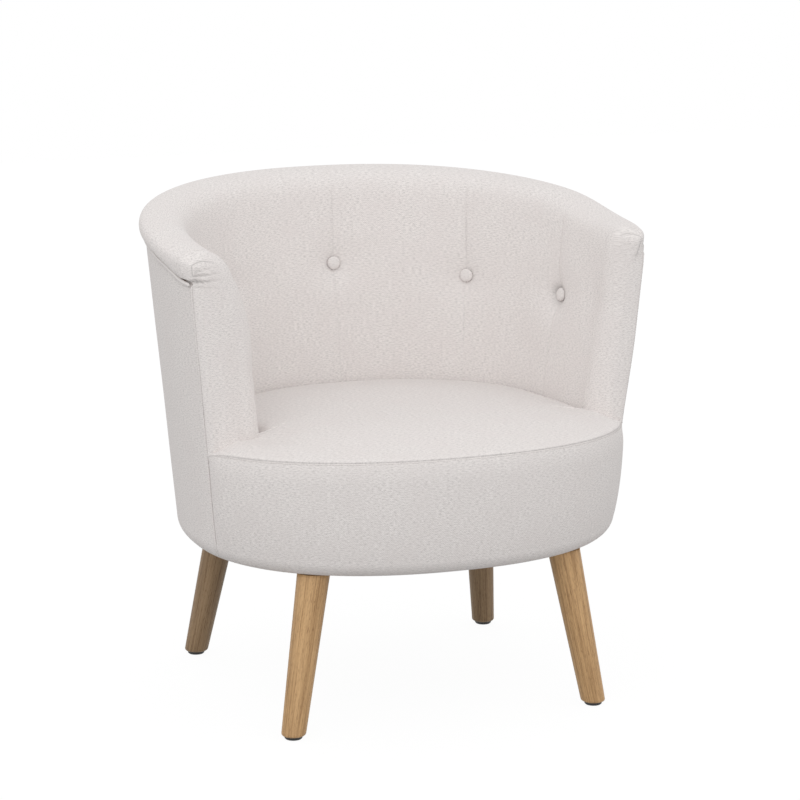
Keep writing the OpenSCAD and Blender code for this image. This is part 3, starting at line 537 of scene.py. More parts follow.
def tufting(a, z):
    s, top = along(a), roll_z(a)
    best = crease = near = dark = np.zeros(np.broadcast(s, z).shape)
    for i, ((ta, tz), (slope, *strength)) in enumerate(zip(TUFTS, PLEATS)):
        side, sink = at_side(ta), sink_at(ta)
        ds, dz = s - along(ta), z - tz
        d = np.hypot(ds, dz)
        out, above, up = np.maximum(0, d - 0.0070), dz > 0, np.maximum(0, dz)
        lean = ds - slope * dz - 0.0007 * noise_1d(z, 40 + i, 0.035) * (np.abs(dz) > 0.004)
        # the dimple, and the funnel by which the pleat runs into it
        core = sink * (0.60 * bell(out, 0.0095, 1.2) + 0.40 * bell(out, 0.032))
        funnel = (1.7 if side else 1.0) * np.where(above, 0.0042 * bell(up, 0.045, 1),
                0.0018 * bell(np.maximum(0, -dz), 0.03, 1))
        funnel = funnel * bell(np.abs(lean), 0.007 + 0.16 * up, 1)
        best = np.maximum(best, core + funnel * (1 - core / (1.04 * sink)))
        # the pleat, which fades towards the roll and the seat
        reach = np.where(above, dz / np.maximum(0.02, top - tz), -dz / (tz - SEAM))
        amount = np.where(above, *strength) * (1 - np.where(above, 0.35, 0.4) * np.clip(reach, 0, 1)) \
            * (1 - ease((reach - 1.02) / 0.25) * above)
        soft = lean * (1 if ta >= 0 else -1) * (-1 if side else 1) > 0
        wide = bell(np.abs(lean), np.where(soft, 0.013, 0.005), 1)
        crease = np.maximum(crease, amount * (0.0009 * bell(lean, 0.0018) + (0.0026 if side else 0.0019) * wide))
        # painted shade: a thin dark line along each pleat's crease
        sharp = (0.55 + 0.45 * noise_1d(z, 60 + i, 0.03)) * bell(lean, 0.0012)
        dark = np.maximum(dark, 0.40 * amount * sharp)
        if side:
            # painted shade round the side buttons' deeper dimples
            shade = bell(np.maximum(0, d - 0.009), 0.008) * (0.4 + 0.6 * ease((dz + 0.004) / 0.012))
            dark = np.maximum(dark, 0.8 * shade)
        near = np.maximum(near, bell(ds, 0.060))
    swell = PILLOW * (1 - near) * np.sin(np.pi * seat_share(a, z))
    return swell - best - crease * (1 - 0.6 * np.clip(best / SINK, 0, 1)), dark


# Control rows of the roll, from its tucked hem outside over the ridge to the top of the wall's inside
def roll_rows(a):
    lip, top, left = lip_z(a), top_t(a), left_share(a)
    low, out, over = DIP * bell(a - 86, 11), flank(a, RIM), 1 - 0.92 * ease((a - 60) / 32)
    return np.stack([
        rim(a, 0.0004 - out, -lip + 0.008),
        rim(a, 0.0002 - out, -lip + 0.0015),
        rim(a, -0.0030 * over ** 2 - out, -lip - 0.0002),
        rim(a, 0.0006 - LIP_OUT * over - 0.7 * out, mix(-lip, -LIP_H * 0.6, 0.25)),
        rim(a, -LIP_OUT * over - 0.5 * out, -LIP_H * 0.58),
        rim(a, -LIP_OUT * 0.52 * over - 0.2 * out, -0.0060 - 0.7 * low),
        rim(a, RIDGE * 0.32, -0.0009 - low),
        rim(a, RIDGE, -low),
        rim(a, mix(RIDGE, top, 0.55), -ROLL * (0.1 + 0.14 * left) - 0.9 * low),
        rim(a, mix(RIDGE, top, 0.86), -ROLL * (0.38 + 0.34 * left) - 0.5 * low),
        wall(a, roll_z(a) - LEFT_START * left, top)])


ROLL_N, WALL_N, FOOT = 46, 96, SEAM - 0.012
_rows = roll_rows(np.linspace(-100, 100, 21))
KNOTS = join([0], np.cumsum(length(np.diff(_rows, axis=0)).mean(1) ** 0.8))
KNOTS = join(KNOTS, KNOTS[-1] + np.array([0.07, 0.17]))
ROLL_TS = np.linspace(0, KNOTS[10], ROLL_N)
ROW_FADE = ease((np.arange(ROLL_N + WALL_N - 1) - (ROLL_N - 16)) / 12.0)


def inside_rows(a):
    """Section curves of the inside cover at the angles, without tufts: [station][row]."""
    def wall_rows(shares):
        zs = [mix(roll_z(a) - LEFT_START * left_share(a), FOOT, t) for t in shares]
        return [wall(a, z, face_in(a, z)) for z in zs]
    roll = spline_rows(np.array([*roll_rows(a), *wall_rows((0.12, 0.3))]), KNOTS, ROLL_TS)
    return across([*roll, *wall_rows(np.linspace(0, 1, WALL_N)[1:])])


def spoke(a):
    """Level direction, outward, in which the sections at the angles lie."""
    return np.stack([bent(np.sin(np.radians(a))), bent(np.cos(np.radians(a))), 0 * a], -1)[:, None]


def section_normals(g, a):
    d, t = spoke(a), np.gradient(g, axis=1)
    out, up = (t * d).sum(-1) / (d * d).sum(-1), t[..., 2]
    size = np.maximum(1e-9, np.hypot(out, up))
    return (up / size)[..., None] * d + (-out / size)[..., None] * np.array([0, 0, 1.0])


def inside_skin(a):
    """Section curves with tufts, pleats and swell, their normals and the shade painted into the folds."""
    g = inside_rows(a)
    n = section_normals(g, a)
    depth, dark = tufting(a[:, None], g[..., 2])
    return g + n * (depth * ROW_FADE)[..., None], n, dark * ROW_FADE


def relax(points, pin, pressure, frames=16, stiff=12.0):
    """Cloth simulation of a grid held where pin is 1. Gives how far each point moves, capped and smoothed."""
    k, m = pin.shape
    o = mesh_object("cloth_trial", points, grid_faces(k, m))
    group = o.vertex_groups.new(name="pin")
    level_of = np.round(pin.ravel(), 2)
    for level in np.unique(level_of[level_of > 0]):
        group.add(np.nonzero(level_of == level)[0].tolist(), float(level), "REPLACE")
    cloth = o.modifiers.new("cloth", "CLOTH")
    for key, value in dict(
            quality=5, mass=0.25, tension_stiffness=stiff, compression_stiffness=stiff, shear_stiffness=stiff * 0.4,
            bending_stiffness=0.4, tension_damping=8, compression_damping=8, shear_damping=8, air_damping=3,
            vertex_group_mass="pin", pin_stiffness=1.0, use_pressure=True, uniform_pressure_force=pressure,
            shrink_min=-CLOTH_SLACK).items():
        setattr(cloth.settings, key, value)
    cloth.settings.effector_weights.gravity = 0
    cloth.collision_settings.use_collision = False
    for span in (cloth.point_cache, scene):
        span.frame_start, span.frame_end = 1, frames
    for f in range(1, frames + 1):
        scene.frame_set(f)
    seen = o.evaluated_get(bpy.context.evaluated_depsgraph_get())
    moved = read(seen.data.vertices, "co", 3).reshape(k, m, 3).astype(float) - points
    me = o.data
    bpy.data.objects.remove(o)
    bpy.data.meshes.remove(me)
    scene.frame_set(1)
    far = length(moved)[..., None]
    moved *= np.minimum(1, CLOTH_CAP / np.maximum(far, 1e-9))
    for _ in range(8):
        for v in (moved, moved.swapaxes(0, 1)):
            v[1:-1] += 0.5 * ((v[2:] + v[:-2]) / 2 - v[1:-1])
    return moved


def resample(field, old, new):
    """Reads rows of vectors, known at old, at new."""
    i = np.clip(np.searchsorted(old, new, side="right") - 1, 0, len(old) - 2)
    return mix(field[i], field[i + 1], ((new - old[i]) / (old[i + 1] - old[i]))[:, None, None])


# Inside cover: quilted, tufted and pleated, rolled over the rim
S_END = along(ARM_END)
S_WIDE, S_FINE, S_NEAR = 0.006, 0.0013, 0.014     # steps between the stations, and how near a pleat they are fine
s = np.linspace(-S_END, S_END, 6000)
density = 1 / S_WIDE + (1 / S_FINE) * sum(bell(s - along(a), S_NEAR, 4) for a, _ in TUFTS)
total = join([0], np.cumsum((density[1:] + density[:-1]) / 2 * np.diff(s)))
S_LINE = np.interp(np.linspace(0, total[-1], int(total[-1]) + 1), total, s)
COLS = angles_at(S_LINE)
grid, out, dark = inside_skin(COLS)
START = ROLL_N - 12
s_few = np.linspace(-S_END, S_END, 170)
few = inside_skin(angles_at(s_few))[0][:, START::2]
hold = np.zeros(few.shape[:2])
hold[:, 0] = hold[:, -1] = hold[0] = hold[-1] = 1
for a, z in TUFTS:
    ds = np.abs(s_few[:, None] - along(a))
    hold = np.maximum(hold, (np.hypot(ds, few[..., 2] - z) < 0.013) * 1.0)
    hold = np.maximum(hold, (ds < 0.0045) * 0.75)
rows = np.arange(hold.shape[1])
moved = relax(few, hold, 0.5) * ease(rows / 14.0)[None, :, None]
moved = resample(moved, s_few, S_LINE).swapaxes(0, 1)
moved = resample(moved, rows * 2.0, np.arange(grid.shape[1] - START, dtype=float)).swapaxes(0, 1)
grid[:, START:] += moved * [1, 1, 0.3]
ends = ease((S_END - np.abs(S_LINE)) / 0.05)
uneven = 0.0006 * noise_2d(S_LINE[:, None], np.arange(grid.shape[1])[None, :] * 0.0045, 3, 0.06)
grid += out * (uneven * ROW_FADE * ends[:, None])[..., None]
back_in = quilt_in(top_t(COLS), 0)
inner = [rim(COLS, 0.0012, -lip_z(COLS) + 0.009), rim(COLS, 0.004, -QUILT * 0.95), rim(COLS, RIDGE, -QUILT - 0.004),
         rim(COLS, back_in - 0.003, -QUILT - 0.007), wall(COLS, roll_z(COLS), back_in)]
for t in (0.25, 0.5, 0.75, 1.0):
    z = mix(roll_z(COLS), FOOT, t)
    inner.append(wall(COLS, z, quilt_in(face_in(COLS, z), t)))
inside = shell("inside_back", grid, across(inner))
# the painted shade of creases and dimples lies on the outer grid only
mark(inside, "painted_shade", join(dark.ravel(), np.zeros(len(inner) * len(COLS))))
done(inside, "inside_back_cover", fill=0.7)


# Foam behind the quilted cover, folded over the top rail
def back_foam():
    a = angles_at(np.linspace(-S_END, S_END, 160))
    top, behind = quilt_in(top_t(a), 0) - 0.0006, T_TOP - QUILT - FOAM
    front = [rim(a, 0.0080, -0.0175), rim(a, RIDGE, -0.0224), rim(a, top - 0.012, -0.0235),
             rim(a, top - 0.004, -0.0265), wall(a, roll_z(a), top)]
    back = [rim(a, 0.0080, -0.0197), rim(a, RIDGE, -0.0244), rim(a, behind - 0.003, -0.0255),
            rim(a, behind, -0.0285), wall(a, roll_z(a), behind)]
    for t in np.linspace(0, 1, 14)[1:]:
        z = mix(roll_z(a), FOOT, t)
        front.append(wall(a, z, quilt_in(face_in(a, z), t) - 0.0006))
        back.append(wall(a, z, mix(T_TOP, T_SEAT, seat_share(a, z)) - QUILT - FOAM))
    done(shell("back_foam_sheet", across(front), across(back)), "back_foam", slot="padding", fill=0.9)


back_foam()


# Hem of the inside cover, tacked flat under the roll
def roll_hem(radius=0.0029, flat=0.75, sides=10):
    a = np.linspace(-SEAM_END + 0.3, 72, 300)
    dz = -lip_z(a) - 0.0052 + 0.0013 * noise_1d(a, 5, 4.0)
    path = rim(a, -0.0016 - flank(a, RIM) + 0.0008 * noise_1d(a, 6, 3.0), dz)
    t = np.gradient(path, axis=0)
    side = np.cross(t, [0.0, 0.0, 1.0])
    up = np.cross(side, t)
    side, up = (v / length(v)[:, None] for v in (side, up))
    turn = circle(sides)[None, :, None]
    size = np.where((a == a[0]) | (a == a[-1]), 0.3 * radius, radius)[:, None, None]
    rings = path[:, None] + size * (np.cos(turn) * side[:, None] * flat + np.sin(turn) * up[:, None])
    done(mesh_object("roll_hem", rings, ring_faces(len(a), sides)), mat=shaded_side_mat)


roll_hem()


# Arm fronts: rings that shrink forward from the wall's end, closed by a nearly flat panel
def facing(side):
    left = side < 0
    first = int(np.searchsorted(ROLL_TS, KNOTS[2]))
    qs = np.unique(join([0, 1e-4], np.linspace(0.03, 1, 30), [0.435, 0.447, 0.459, 0.471]))
    turn, share = np.sin(qs * pi / 2), 1 - np.cos(qs * pi / 2)
    a = side * (ARM_END + FACING * turn)
    a[0] -= side * 0.35     # the first ring lies just under the inside cover's end
    skin = inside_skin(a)[0][:, first:]
    apex = int(np.argmax(skin[0, :, 2]))
    half = skin.shape[1] - apex
    below = half - apex - 1
    top, rows = below + apex, below + skin.shape[1]
    row = np.arange(rows)
    low, under = seat_top(wall(a, SEAM, 0.003)) - 0.009, skin[:, 0, 2] - 0.0012
    edge_in = mix(0.0030, 0.0004, ease((np.abs(a) - 106.88) / 0.22))
    outer = []
    for t in np.linspace(0, 1, below):
        z = mix(low, under, t)
        outer.append(wall(a, z, edge_in + (0.0012 if left else -0.0004) * t ** 12 - flank(a, z)))
    g = join(across(outer), skin, axis=1)
    n = section_normals(g, a)
    # Depth of the rounding: small outside, deepest on the inside of the arm
    span = arcs(g[0])
    span -= span[top]
    flat, deep = (0.0080, (0.0110, 0.0190, 0.0260, 0.0290)) if left else (0.0200, (0.0080, 0.0120, 0.0220, 0.0280))
    depth = np.interp(span, [-0.30, -0.066, -0.050, -0.030, 0.0, 0.030, 0.075, 0.30],
            [flat, flat, 0.5 * (flat + deep[0]), *deep, deep[3]])
    later = np.clip((np.abs(a) - SEAM_END) / 1.7, 0, 1) ** 1.8
    late = np.clip((span + 0.075) / 0.03, 0, 1)
    inset = depth * mix(later[:, None], share[:, None], late)
    inset[0, below:] = 0.0004
    foot = seat_top(g[:, -1]) - 0.014
    g -= n * inset[..., None]
    # the rounding's inner corner is eased, so that its rings don't cross
    outer_share = 0.0 if left else 0.4
    soften = np.interp(span, [-0.10, -0.08, 0.0, 0.03, 0.10, 0.15], [0, outer_share, outer_share, 1, 1, 0])
    soften = (0.5 * soften * share[:, None])[:, 1:-1, None]
    for _ in range(40):
        g[:, 1:-1] += soften * ((g[:, 2:] + g[:, :-2]) / 2 - g[:, 1:-1])
    z, z_top = g[:, rows - WALL_N + 1:, 2], g[:, rows - WALL_N, 2][:, None]
    z[:] = z_top - (z_top - z) * (z_top - foot[:, None]) / (z_top - z[:, -1:])
    # Arc seam round the top of the panel, from the vertical seam to a little past the middle
    q_seam = np.interp(row, [below, below + 6, top], [0.78, 0.70, 0.62 if left else 0.56])
    on_seam = np.interp(row, [below - 4, below - 1, below + 3, top + 1, top + 8], [0, 0.7, 1, 1, 0])
    g -= n * (0.0011 * bell(qs[:, None] - q_seam, 0.030) * on_seam)[..., None]
    # painted shade: a dark line in the arc seam's groove, and a fainter one beside the vertical seam
    beside = (0.4 if left else 0.1) * bell(np.abs(a)[:, None] - SEAM_END, 0.14) * (row < below)
    dark = np.maximum(0.85 * bell(qs[:, None] - q_seam, 0.021) * on_seam, beside)
    # Panel between the last ring's two sides
    count, last = 30, g[-1]
    pair_out, pair_in = last[top::-1][:half], last[top:]
    puff = 0.0035 * np.minimum(1, length(pair_in - pair_out) / 0.05)
    panel = np.array([mix(pair_out, pair_in, w) - np.outer(puff * math.sin(pi * w) ** 2, [0, 1, 0])
            for w in np.linspace(0, 1, count + 1)[1:-1]])[:, 1:]
    k, base = len(qs), len(qs) * rows
    points = join(g.reshape(-1, 3), panel.reshape(-1, 3))
    closed_from = (k - 1) * rows + top

    def at(w, j):
        """Point w steps across the panel and j rows below its top."""
        if j == 0 or w in (0, count):
            return closed_from + (j if w == count else -j)
        return base + (w - 1) * (half - 1) + j - 1
    faces = grid_faces(k, rows)
    for j in range(half - 1):
        faces += [tuple(dict.fromkeys((at(w, j), at(w, j + 1), at(w + 1, j + 1), at(w + 1, j)))) for w in range(count)]
        faces.append(tuple(dict.fromkeys((top - j - 1, top - j, top + j, top + j + 1))))
    faces += [(i * rows, (i + 1) * rows, (i + 2) * rows - 1, (i + 1) * rows - 1) for i in range(k - 1)]
    faces.append(((k - 1) * rows, *(at(w, half - 1) for w in range(1, count)), k * rows - 1))
    forward = join(np.repeat(turn, rows), np.ones(len(points) - base))
    corner_a = np.array([side * 107.4])
    corner, d = rim(corner_a, 0.0, -lip_z(ARM_END))[0], spoke(corner_a)[0, 0]

    def beside_corner(p):
        return -((p - corner) @ d) / (d @ d), p[:, 2] - corner[2]
    r, _ = beside_corner(points)
    away = (1 - forward) * math.radians(FACING) * 0.29
    uv = np.stack([r + np.where(r > 0.04, away, -away), points[:, 2]], -1)
    o = mesh_object("arm_front_rough", points, faces, uv)
    mark(o, "painted_shade", join(dark.ravel(), np.zeros(len(points) - base)))
    mark(o, "forward", forward)
    mark(o, "crease_edge", (read(o.data.edges, "vertices", 2, np.int32) < rows).all(1), "EDGE")
    fine = outward(o).modifiers.new("fine", "SUBSURF")
    fine.levels = fine.render_levels = 1
    o = plain(o, "arm_front_left" if left else "arm_front_right")
    # Puckers run in from the top of the vertical seam, with shade painted along their creases
    me = o.data
    points = read(me.vertices, "co", 3).astype(float)
    shade, forward = (read(me.attributes[key].data, "value") for key in ("painted_shade", "forward"))
    r, h = beside_corner(points)
    on = ease((forward - 0.72) / 0.1) * ease((r + 0.004) / 0.006) * bell(np.maximum(0, r), 0.026, 1.6)
    push = 0
    for h0, size, slope in ((0.0140, 0.6, 0.10), (0.0080, 1.3, 0.02), (0.0005, 1.5, -0.06), (-0.0065, 0.5, -0.16)):
        size *= 1 if left else 0.15
        line = h - h0 - slope * r - 0.0006 * noise_1d(r, int(1000 * h0) + 3, 0.010)
        push = push + size * bell(line, 0.0019)
        shade = np.maximum(shade, 0.55 * size * on * bell(line, 0.0011))
    points[:, 1] += 0.0020 * push * on - 0.0007 * noise_2d(r, h, 7 + side, 0.05) * ease((forward - 0.2) / 0.4)
    me.vertices.foreach_set("co", points.astype(np.float32).ravel())
    me.attributes["painted_shade"].data.foreach_set("value", shade.astype(np.float32))
    me.attributes.remove(me.attributes["forward"])
    me.update()
    done(o, "arm_facing_left" if left else "arm_facing_right", fill=0.6)


facing(-1)
facing(1)


# Outside cover, and the band round the front of the seat
def skirt(name, a, top, count, inward_at, half_in, top_in):
    """A cover from the hem and the padded bottom edge up to its top, with its depth at share t and height z."""
    rows = [wall(a, BASE, EDGE + HEM), wall(a, BASE, EDGE + HEM * 0.5)]
    for t in np.linspace(0, pi / 2, 12):
        rows.append(wall(a, BASE + EDGE * (1 - math.cos(t)), EDGE * (1 - math.sin(t))))
    for t in np.linspace(0, 1, count)[1:]:
        z = mix(BASE + EDGE, top, t)
        rows.append(wall(a, z, inward_at(t, z)))
    thick = [wall(a, BASE + THICK, EDGE + HEM), wall(a, BASE + THICK, EDGE), wall(a, BASE + EDGE, THICK),
             wall(a, mix(BASE + EDGE, top, 0.5), half_in), wall(a, top, top_in)]
    return shell(name, across(rows), across(thick), flip=True)


def outside():
    a = np.linspace(-SEAM_END, SEAM_END, 330)
    closed = ease((a - 58) / 14)    # on the right arm there is no lip, and the cover runs up to the roll
    top = rim(a, 0.0, -lip_z(a) - 0.0055 + 0.0048 * closed)[:, 2]
    edge = bell(np.abs(np.abs(a) - SEAM_END), 0.22, 1) * np.where(a < 0, 0.0008, 0.0002)

    def inward_at(t, z):
        tuck = 0.0018 * bell(top - z, 0.006, 1) * (1 - 0.85 * closed)
        wave = 0.0007 * noise_2d(along(a), z, 11, 0.09) * math.sin(pi * min(1, t * 1.4 + 0.05))
        return tuck + edge - wave - flank(a, z)
    done(skirt("outside_back", a, top, 60, inward_at, 0.002, 0.0034),
         "outside_cover", mat=shaded_side_mat, fill=0.4)


def band():
    first = SEAM_END + 0.06
    a = np.linspace(first, 360 - first, 300)
    top = seam_at(a) - 0.0016
    ends = np.minimum(a - first, 360 - first - a)

    def inward_at(t, z):
        puff = PUFF * math.sin(pi * t ** 0.8) * ease(ends / 9.0 + 0.25)
        tuck = 0.0017 * bell(top - z, 0.0016, 1) + 0.0016 * bell(ends, 0.35, 1)
        wave = 0.0006 * noise_2d(np.radians(a - 180) * FRONT, z, 13, 0.07) * math.sin(pi * t)
        return tuck - puff - wave + shoulder(a) * np.maximum(0, 1 - (top - z) / SHOULDER_H) ** 2
    done(skirt("seat_band", a, top, 56, inward_at, 0.001, 0.0038 + shoulder(a)),
         "seat_front_band", mat=shaded_side_mat, fill=0.5)


outside()
band()


# Columns at the arm ends lie on one ray, so what they are lifted by is read from their place
def by_place(xy, lift, step=0.012, passes=6):
    spot = (xy - xy.reshape(-1, 2).min(0)) / step + passes
    low = np.floor(spot).astype(int)
    i, j = low[..., 0], low[..., 1]
    u, v = np.moveaxis(spot - low, -1, 0)
    sums = np.zeros((2, i.max() + passes + 2, j.max() + passes + 2))
    np.add.at(sums[0], (i, j), lift)
    np.add.at(sums[1], (i, j), 1.0)
    for axis in (1, 2) * passes:
        sums = (np.roll(sums, 1, axis) + 2 * sums + np.roll(sums, -1, axis)) / 4
    mean = sums[0] / np.maximum(sums[1], 1e-9)
    return mix(mix(mean[i, j], mean[i + 1, j], u), mix(mean[i, j + 1], mean[i + 1, j + 1], u), v)


# Seat: a crowned pad whose edge tucks down along the wall and meets the band at the seam
def seat():
    back, ears, front = 210, 12, 230
    back_a = angles_at(np.linspace(-S_END, S_END, back))
    front_a = np.linspace(SEAM_END + 0.12, 360 - SEAM_END - 0.12, front)
    ear_a = np.full(ears, ARM_END + 0.06)
    ear_r = [np.linspace(float(seat_t(s * ARM_END)) + 0.0004, 0.0030, ears) for s in (1, -1)]
    ear_in, none = np.linspace(1, 0.4, ears), [0.0]
    a = join(back_a, ear_a, [ARM_END + 2], front_a, [360 - ARM_END - 2], 360 - ear_a)
    r = join(seat_t(back_a) + 0.0004, ear_r[0], [0.0028], 0.0003 + shoulder(front_a), [0.0028], ear_r[1][::-1])
    inner_edge = join(np.ones(back), ear_in, none, np.zeros(front), none, ear_in[::-1])
    gap = join(GAP * ease((-back_a - 66) / 20) * (1 - 0.4 * ease((-back_a - 92) / 11)),
            np.zeros(ears + front + 2), EAR_GAP * ease(np.linspace(-3, 1, ears)))
    edge = wall(a, SEAM, r)
    over = np.where(inner_edge > 0, 0, np.maximum(0, seat_top(edge) - seam_at(a)))
    size = length((edge - CENTRE)[:, :2])
    near_edge = [0, 0.6, 1.4, 2.6, 4.2, 6, 7.8, 9.6, 11.6, 14, 17, 20.5, 24.5, 29, 33.5, 38, 42.5, 47, 52]     # in mm
    inward = join(np.array(near_edge) / 1000, np.linspace(0.060, 0.2, 24))
    at_ear = bell(np.abs((a + 180) % 360 - 180) - 106, 5) * (1 - inner_edge * 0.7)
    rings = []
    for i, even in enumerate(inward):
        # even steps at the edge turn into shares of the way to the middle
        share = max(0, i - len(near_edge) + 1) / 24
        d = mix(even, mix(0.052, size * 0.985, share), ease(share * 3))
        p = CENTRE + (edge - CENTRE) * (1 - d / size)[:, None]
        p[:, 2] = seat_top(p)
        tuck = inner_edge * (0.010 + 0.25 * gap) * bell(np.maximum(0, d - gap), 0.0048 + 0.08 * gap, 1.3)
        tuck += (1 - inner_edge) * 0.0016 * bell(d, 0.0018, 1.2) + over * bell(d, 0.014, 1.3)
        ear_dip = at_ear * (0.0048 * bell(d, 0.020) - 0.0035 * bell(d - 0.040, 0.013))
        slump = 0.0085 * bell(p[:, 0] + 0.222, 0.030) * bell(p[:, 1] + 0.112, 0.045)
        p[:, 2] -= tuck + ear_dip + slump
        rings.append(p)
    g = across(rings)
    fade = ease(inward / 0.03)
    hold = np.zeros(g.shape[:2])
    hold[:, :18] = hold[:, -1] = 1
    hold[:, 18] = 0.5
    moved = relax(join(g, g[:1]), join(hold, hold[:1]), 0.6)[:-1]
    g[..., 2] += by_place(g[..., :2], moved[..., 2]) * fade
    g[..., 2] += 0.0007 * noise_2d(g[..., 0], g[..., 1], 21, 0.10) * fade
    step = (CENTRE - g[:, 0]) * [1, 1, 0]
    low = g[:, 0] + step / length(step)[:, None] * 0.005 - [0, 0, 0.012]
    under = CENTRE + (low - CENTRE) * 0.6
    under[:, 2] = low[:, 2].mean()
    columns = join(under[:, None], low[:, None], g, axis=1)
    o = pad("seat_pad", columns, [0, MID_Y, under[0, 2]], g[:, -1].mean(0), mapped=True)
    # painted shade: a faint dark line along the front seam, and a dark wedge in the gap beside the left arm where the
    # seat falls away
    at_seam = (1 - inner_edge)[:, None] * bell(inward, 0.0012) * 0.35
    painted_gap_shade = 0.85 * ease(gap / 0.010)[:, None] * (1 - ease((inward - gap[:, None]) / 0.003))
    dark = np.pad(np.maximum(at_seam, painted_gap_shade), ((0, 0), (2, 0)))
    mark(o, "painted_shade", join(dark.ravel(), [0, 0]))
    done(o, "seat_cover", fill=0.75)
    # The foam under it: the same form lower down and a little in from the edge, flat on the webbing
    lower = g[::2, ::2] + ((CENTRE - g[::2, ::2]) * [1, 1, 0]) * 0.022 - [0, 0, 0.0145]
    foot = lower[:, :1].copy()
    foot[..., 2] = floor_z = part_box("seat_foam")[0][2]
    o = pad("seat_foam_block", join(foot, lower, axis=1), [0, MID_Y, floor_z], lower[:, -1].mean(0))
    done(o, "seat_foam", slot="padding", fill=0.9)


seat()


# Buttons
def button(name, a, z):
    s, c = (float(bent(f(math.radians(a)))) for f in (math.sin, math.cos))
    turn = math.atan2(np.sign(s) * abs(s) ** (POWER - 1) / SIDE,
            np.sign(c) * abs(c) ** (POWER - 1) / (BACK if c > 0 else FRONT))
    place = np.array(Matrix.Translation(Vector(wall(a, z, float(face_in(a, z)) - sink_at(a))))
            @ Matrix.Rotation(-turn, 4, "Z") @ Matrix.Rotation(pi / 2 - LEAN, 4, "X"))
    t = np.linspace(0.08, 1, 12) * pi / 2
    dome = np.stack([BUTTON_R * np.cos(t) ** 0.85 + 1e-5, 0.0019 + (BUTTON_H - 0.0019) * np.sin(t)], -1)
    rim_ = [(0.0001, 0.0), (0.006, 0.0), (0.0088, 0.0004), (0.0098, 0.0011), (0.0100, 0.0019)]
    r, h = join(rim_, dome).T[..., None]
    t = circle(48)
    x, y, h = np.broadcast_arrays(r * np.cos(t), r * np.sin(t), h)
    wavy = 1 + 0.012 * np.sin(3 * t + a) + (h < 0.0025) * 0.03 * np.sin(14 * t)
    points = np.stack([x * wavy, y * wavy, h + 0.001], -1).reshape(-1, 3) @ place[:3, :3].T + place[:3, 3]
    done(mesh_object(name.replace("back_", "") + "_covered", points, ring_faces(len(r), 48),
            np.stack([x, y], -1)), name, mat=button_mat)


for name, tuft in zip(("far_left", "left", "centre", "right", "far_right"), TUFTS):
    button("back_button_" + name, *tuft)

# Legs: turned taper, cut level, with an eased foot. Each has its foot, and how far its top leans from there
LEGS = {"front_left": (-0.228, -0.199, 0.040, 0.024), "front_right": (0.228, -0.199, -0.040, 0.024),
        "rear_left": (-0.236, 0.246, 0.032, -0.054), "rear_right": (0.236, 0.246, -0.032, -0.054)}
LEG_TOP, FOOT_Z, LEG_R, TOP_R, LEG_SIDES = BASE - 0.0003, 0.005, 0.017, 0.023, 72


def leg(i, name, x, y, dx, dy):
    foot = np.array([x, y + MID_Y, 0.0])
    axis = np.array([dx, dy, LEG_TOP])
    top, axis = foot + axis, axis / length(axis)
    side = np.cross(axis, [0, 1.0, 0])
    side /= length(side)
    levels = join([0, 0.0004, 0.0010, 0.0018, 0.0030], np.linspace(0.006, LEG_TOP - FOOT_Z, 40))
    t, h = np.meshgrid(circle(LEG_SIDES), levels)
    z = FOOT_Z + h
    # the cone's generators, where they meet each level
    around = side * np.cos(t)[..., None] + np.cross(axis, side) * np.sin(t)[..., None]
    low, high = foot + around * LEG_R, top + around * TOP_R
    p = low + (high - low) * ((z - low[..., 2]) / (high - low)[..., 2])[..., None]
    middle = foot + axis * (z / axis[2])[..., None]
    eased = 0.0022 * (1 - np.minimum(1, h / 0.0030)) ** 2 / length(p - middle)
    points = p - (p - middle) * eased[..., None]
    o = mesh_object("turned_leg_" + name, points, ring_faces(len(levels), LEG_SIDES),
            np.stack([0.02 * t, h], -1), flat=2)
    grain = np.stack([0.021 * np.cos(t) + 0.07 * i, 0.021 * np.sin(t) + 0.03, h + 0.31 * i], -1)
    mark(o, "grain", grain, kind="FLOAT_VECTOR", key="vector")
    # the rear legs take the darker, shaded copy of the wood
    done(o, "leg_" + name, slot="leg_wood", mat=shaded_rear_leg_mat if "rear" in name else None)


for i, (name, spots) in enumerate(LEGS.items()):
    leg(i, name, *spots)


# Dust cover: thin cloth stapled under the base, sagging a little
def dust_cover():
    n, m = 150, 26
    edge = wall(np.linspace(0, 360, n, endpoint=False), BASE, EDGE + HEM + 0.0016)
    rings = []
    for t in np.linspace(1, 0.04, m):
        p = CENTRE + (edge - CENTRE) * t
        sag = 0.0004 * (1 - t * t) + 0.00025 * noise_2d(p[:, 0], p[:, 1], 31, 0.05)
        p[:, 2] = BASE + 0.0008 - np.maximum(0, sag) * (t < 0.99)
        rings.append(p)
    points = join(*rings, [rings[-1].mean(0)])
    faces = ring_faces(m, n, ends=False) + [((m - 1) * n + (j + 1) % n, m * n, (m - 1) * n + j) for j in range(n)]
    o = done(mesh_object("dust_cloth_stretched", points, faces, points[:, :2]), "dust_cover", slot="dust_cloth")
    if o.data.polygons[0].normal.z > 0:
        o.data.flip_normals()     # an open sheet, seen from below
    return edge


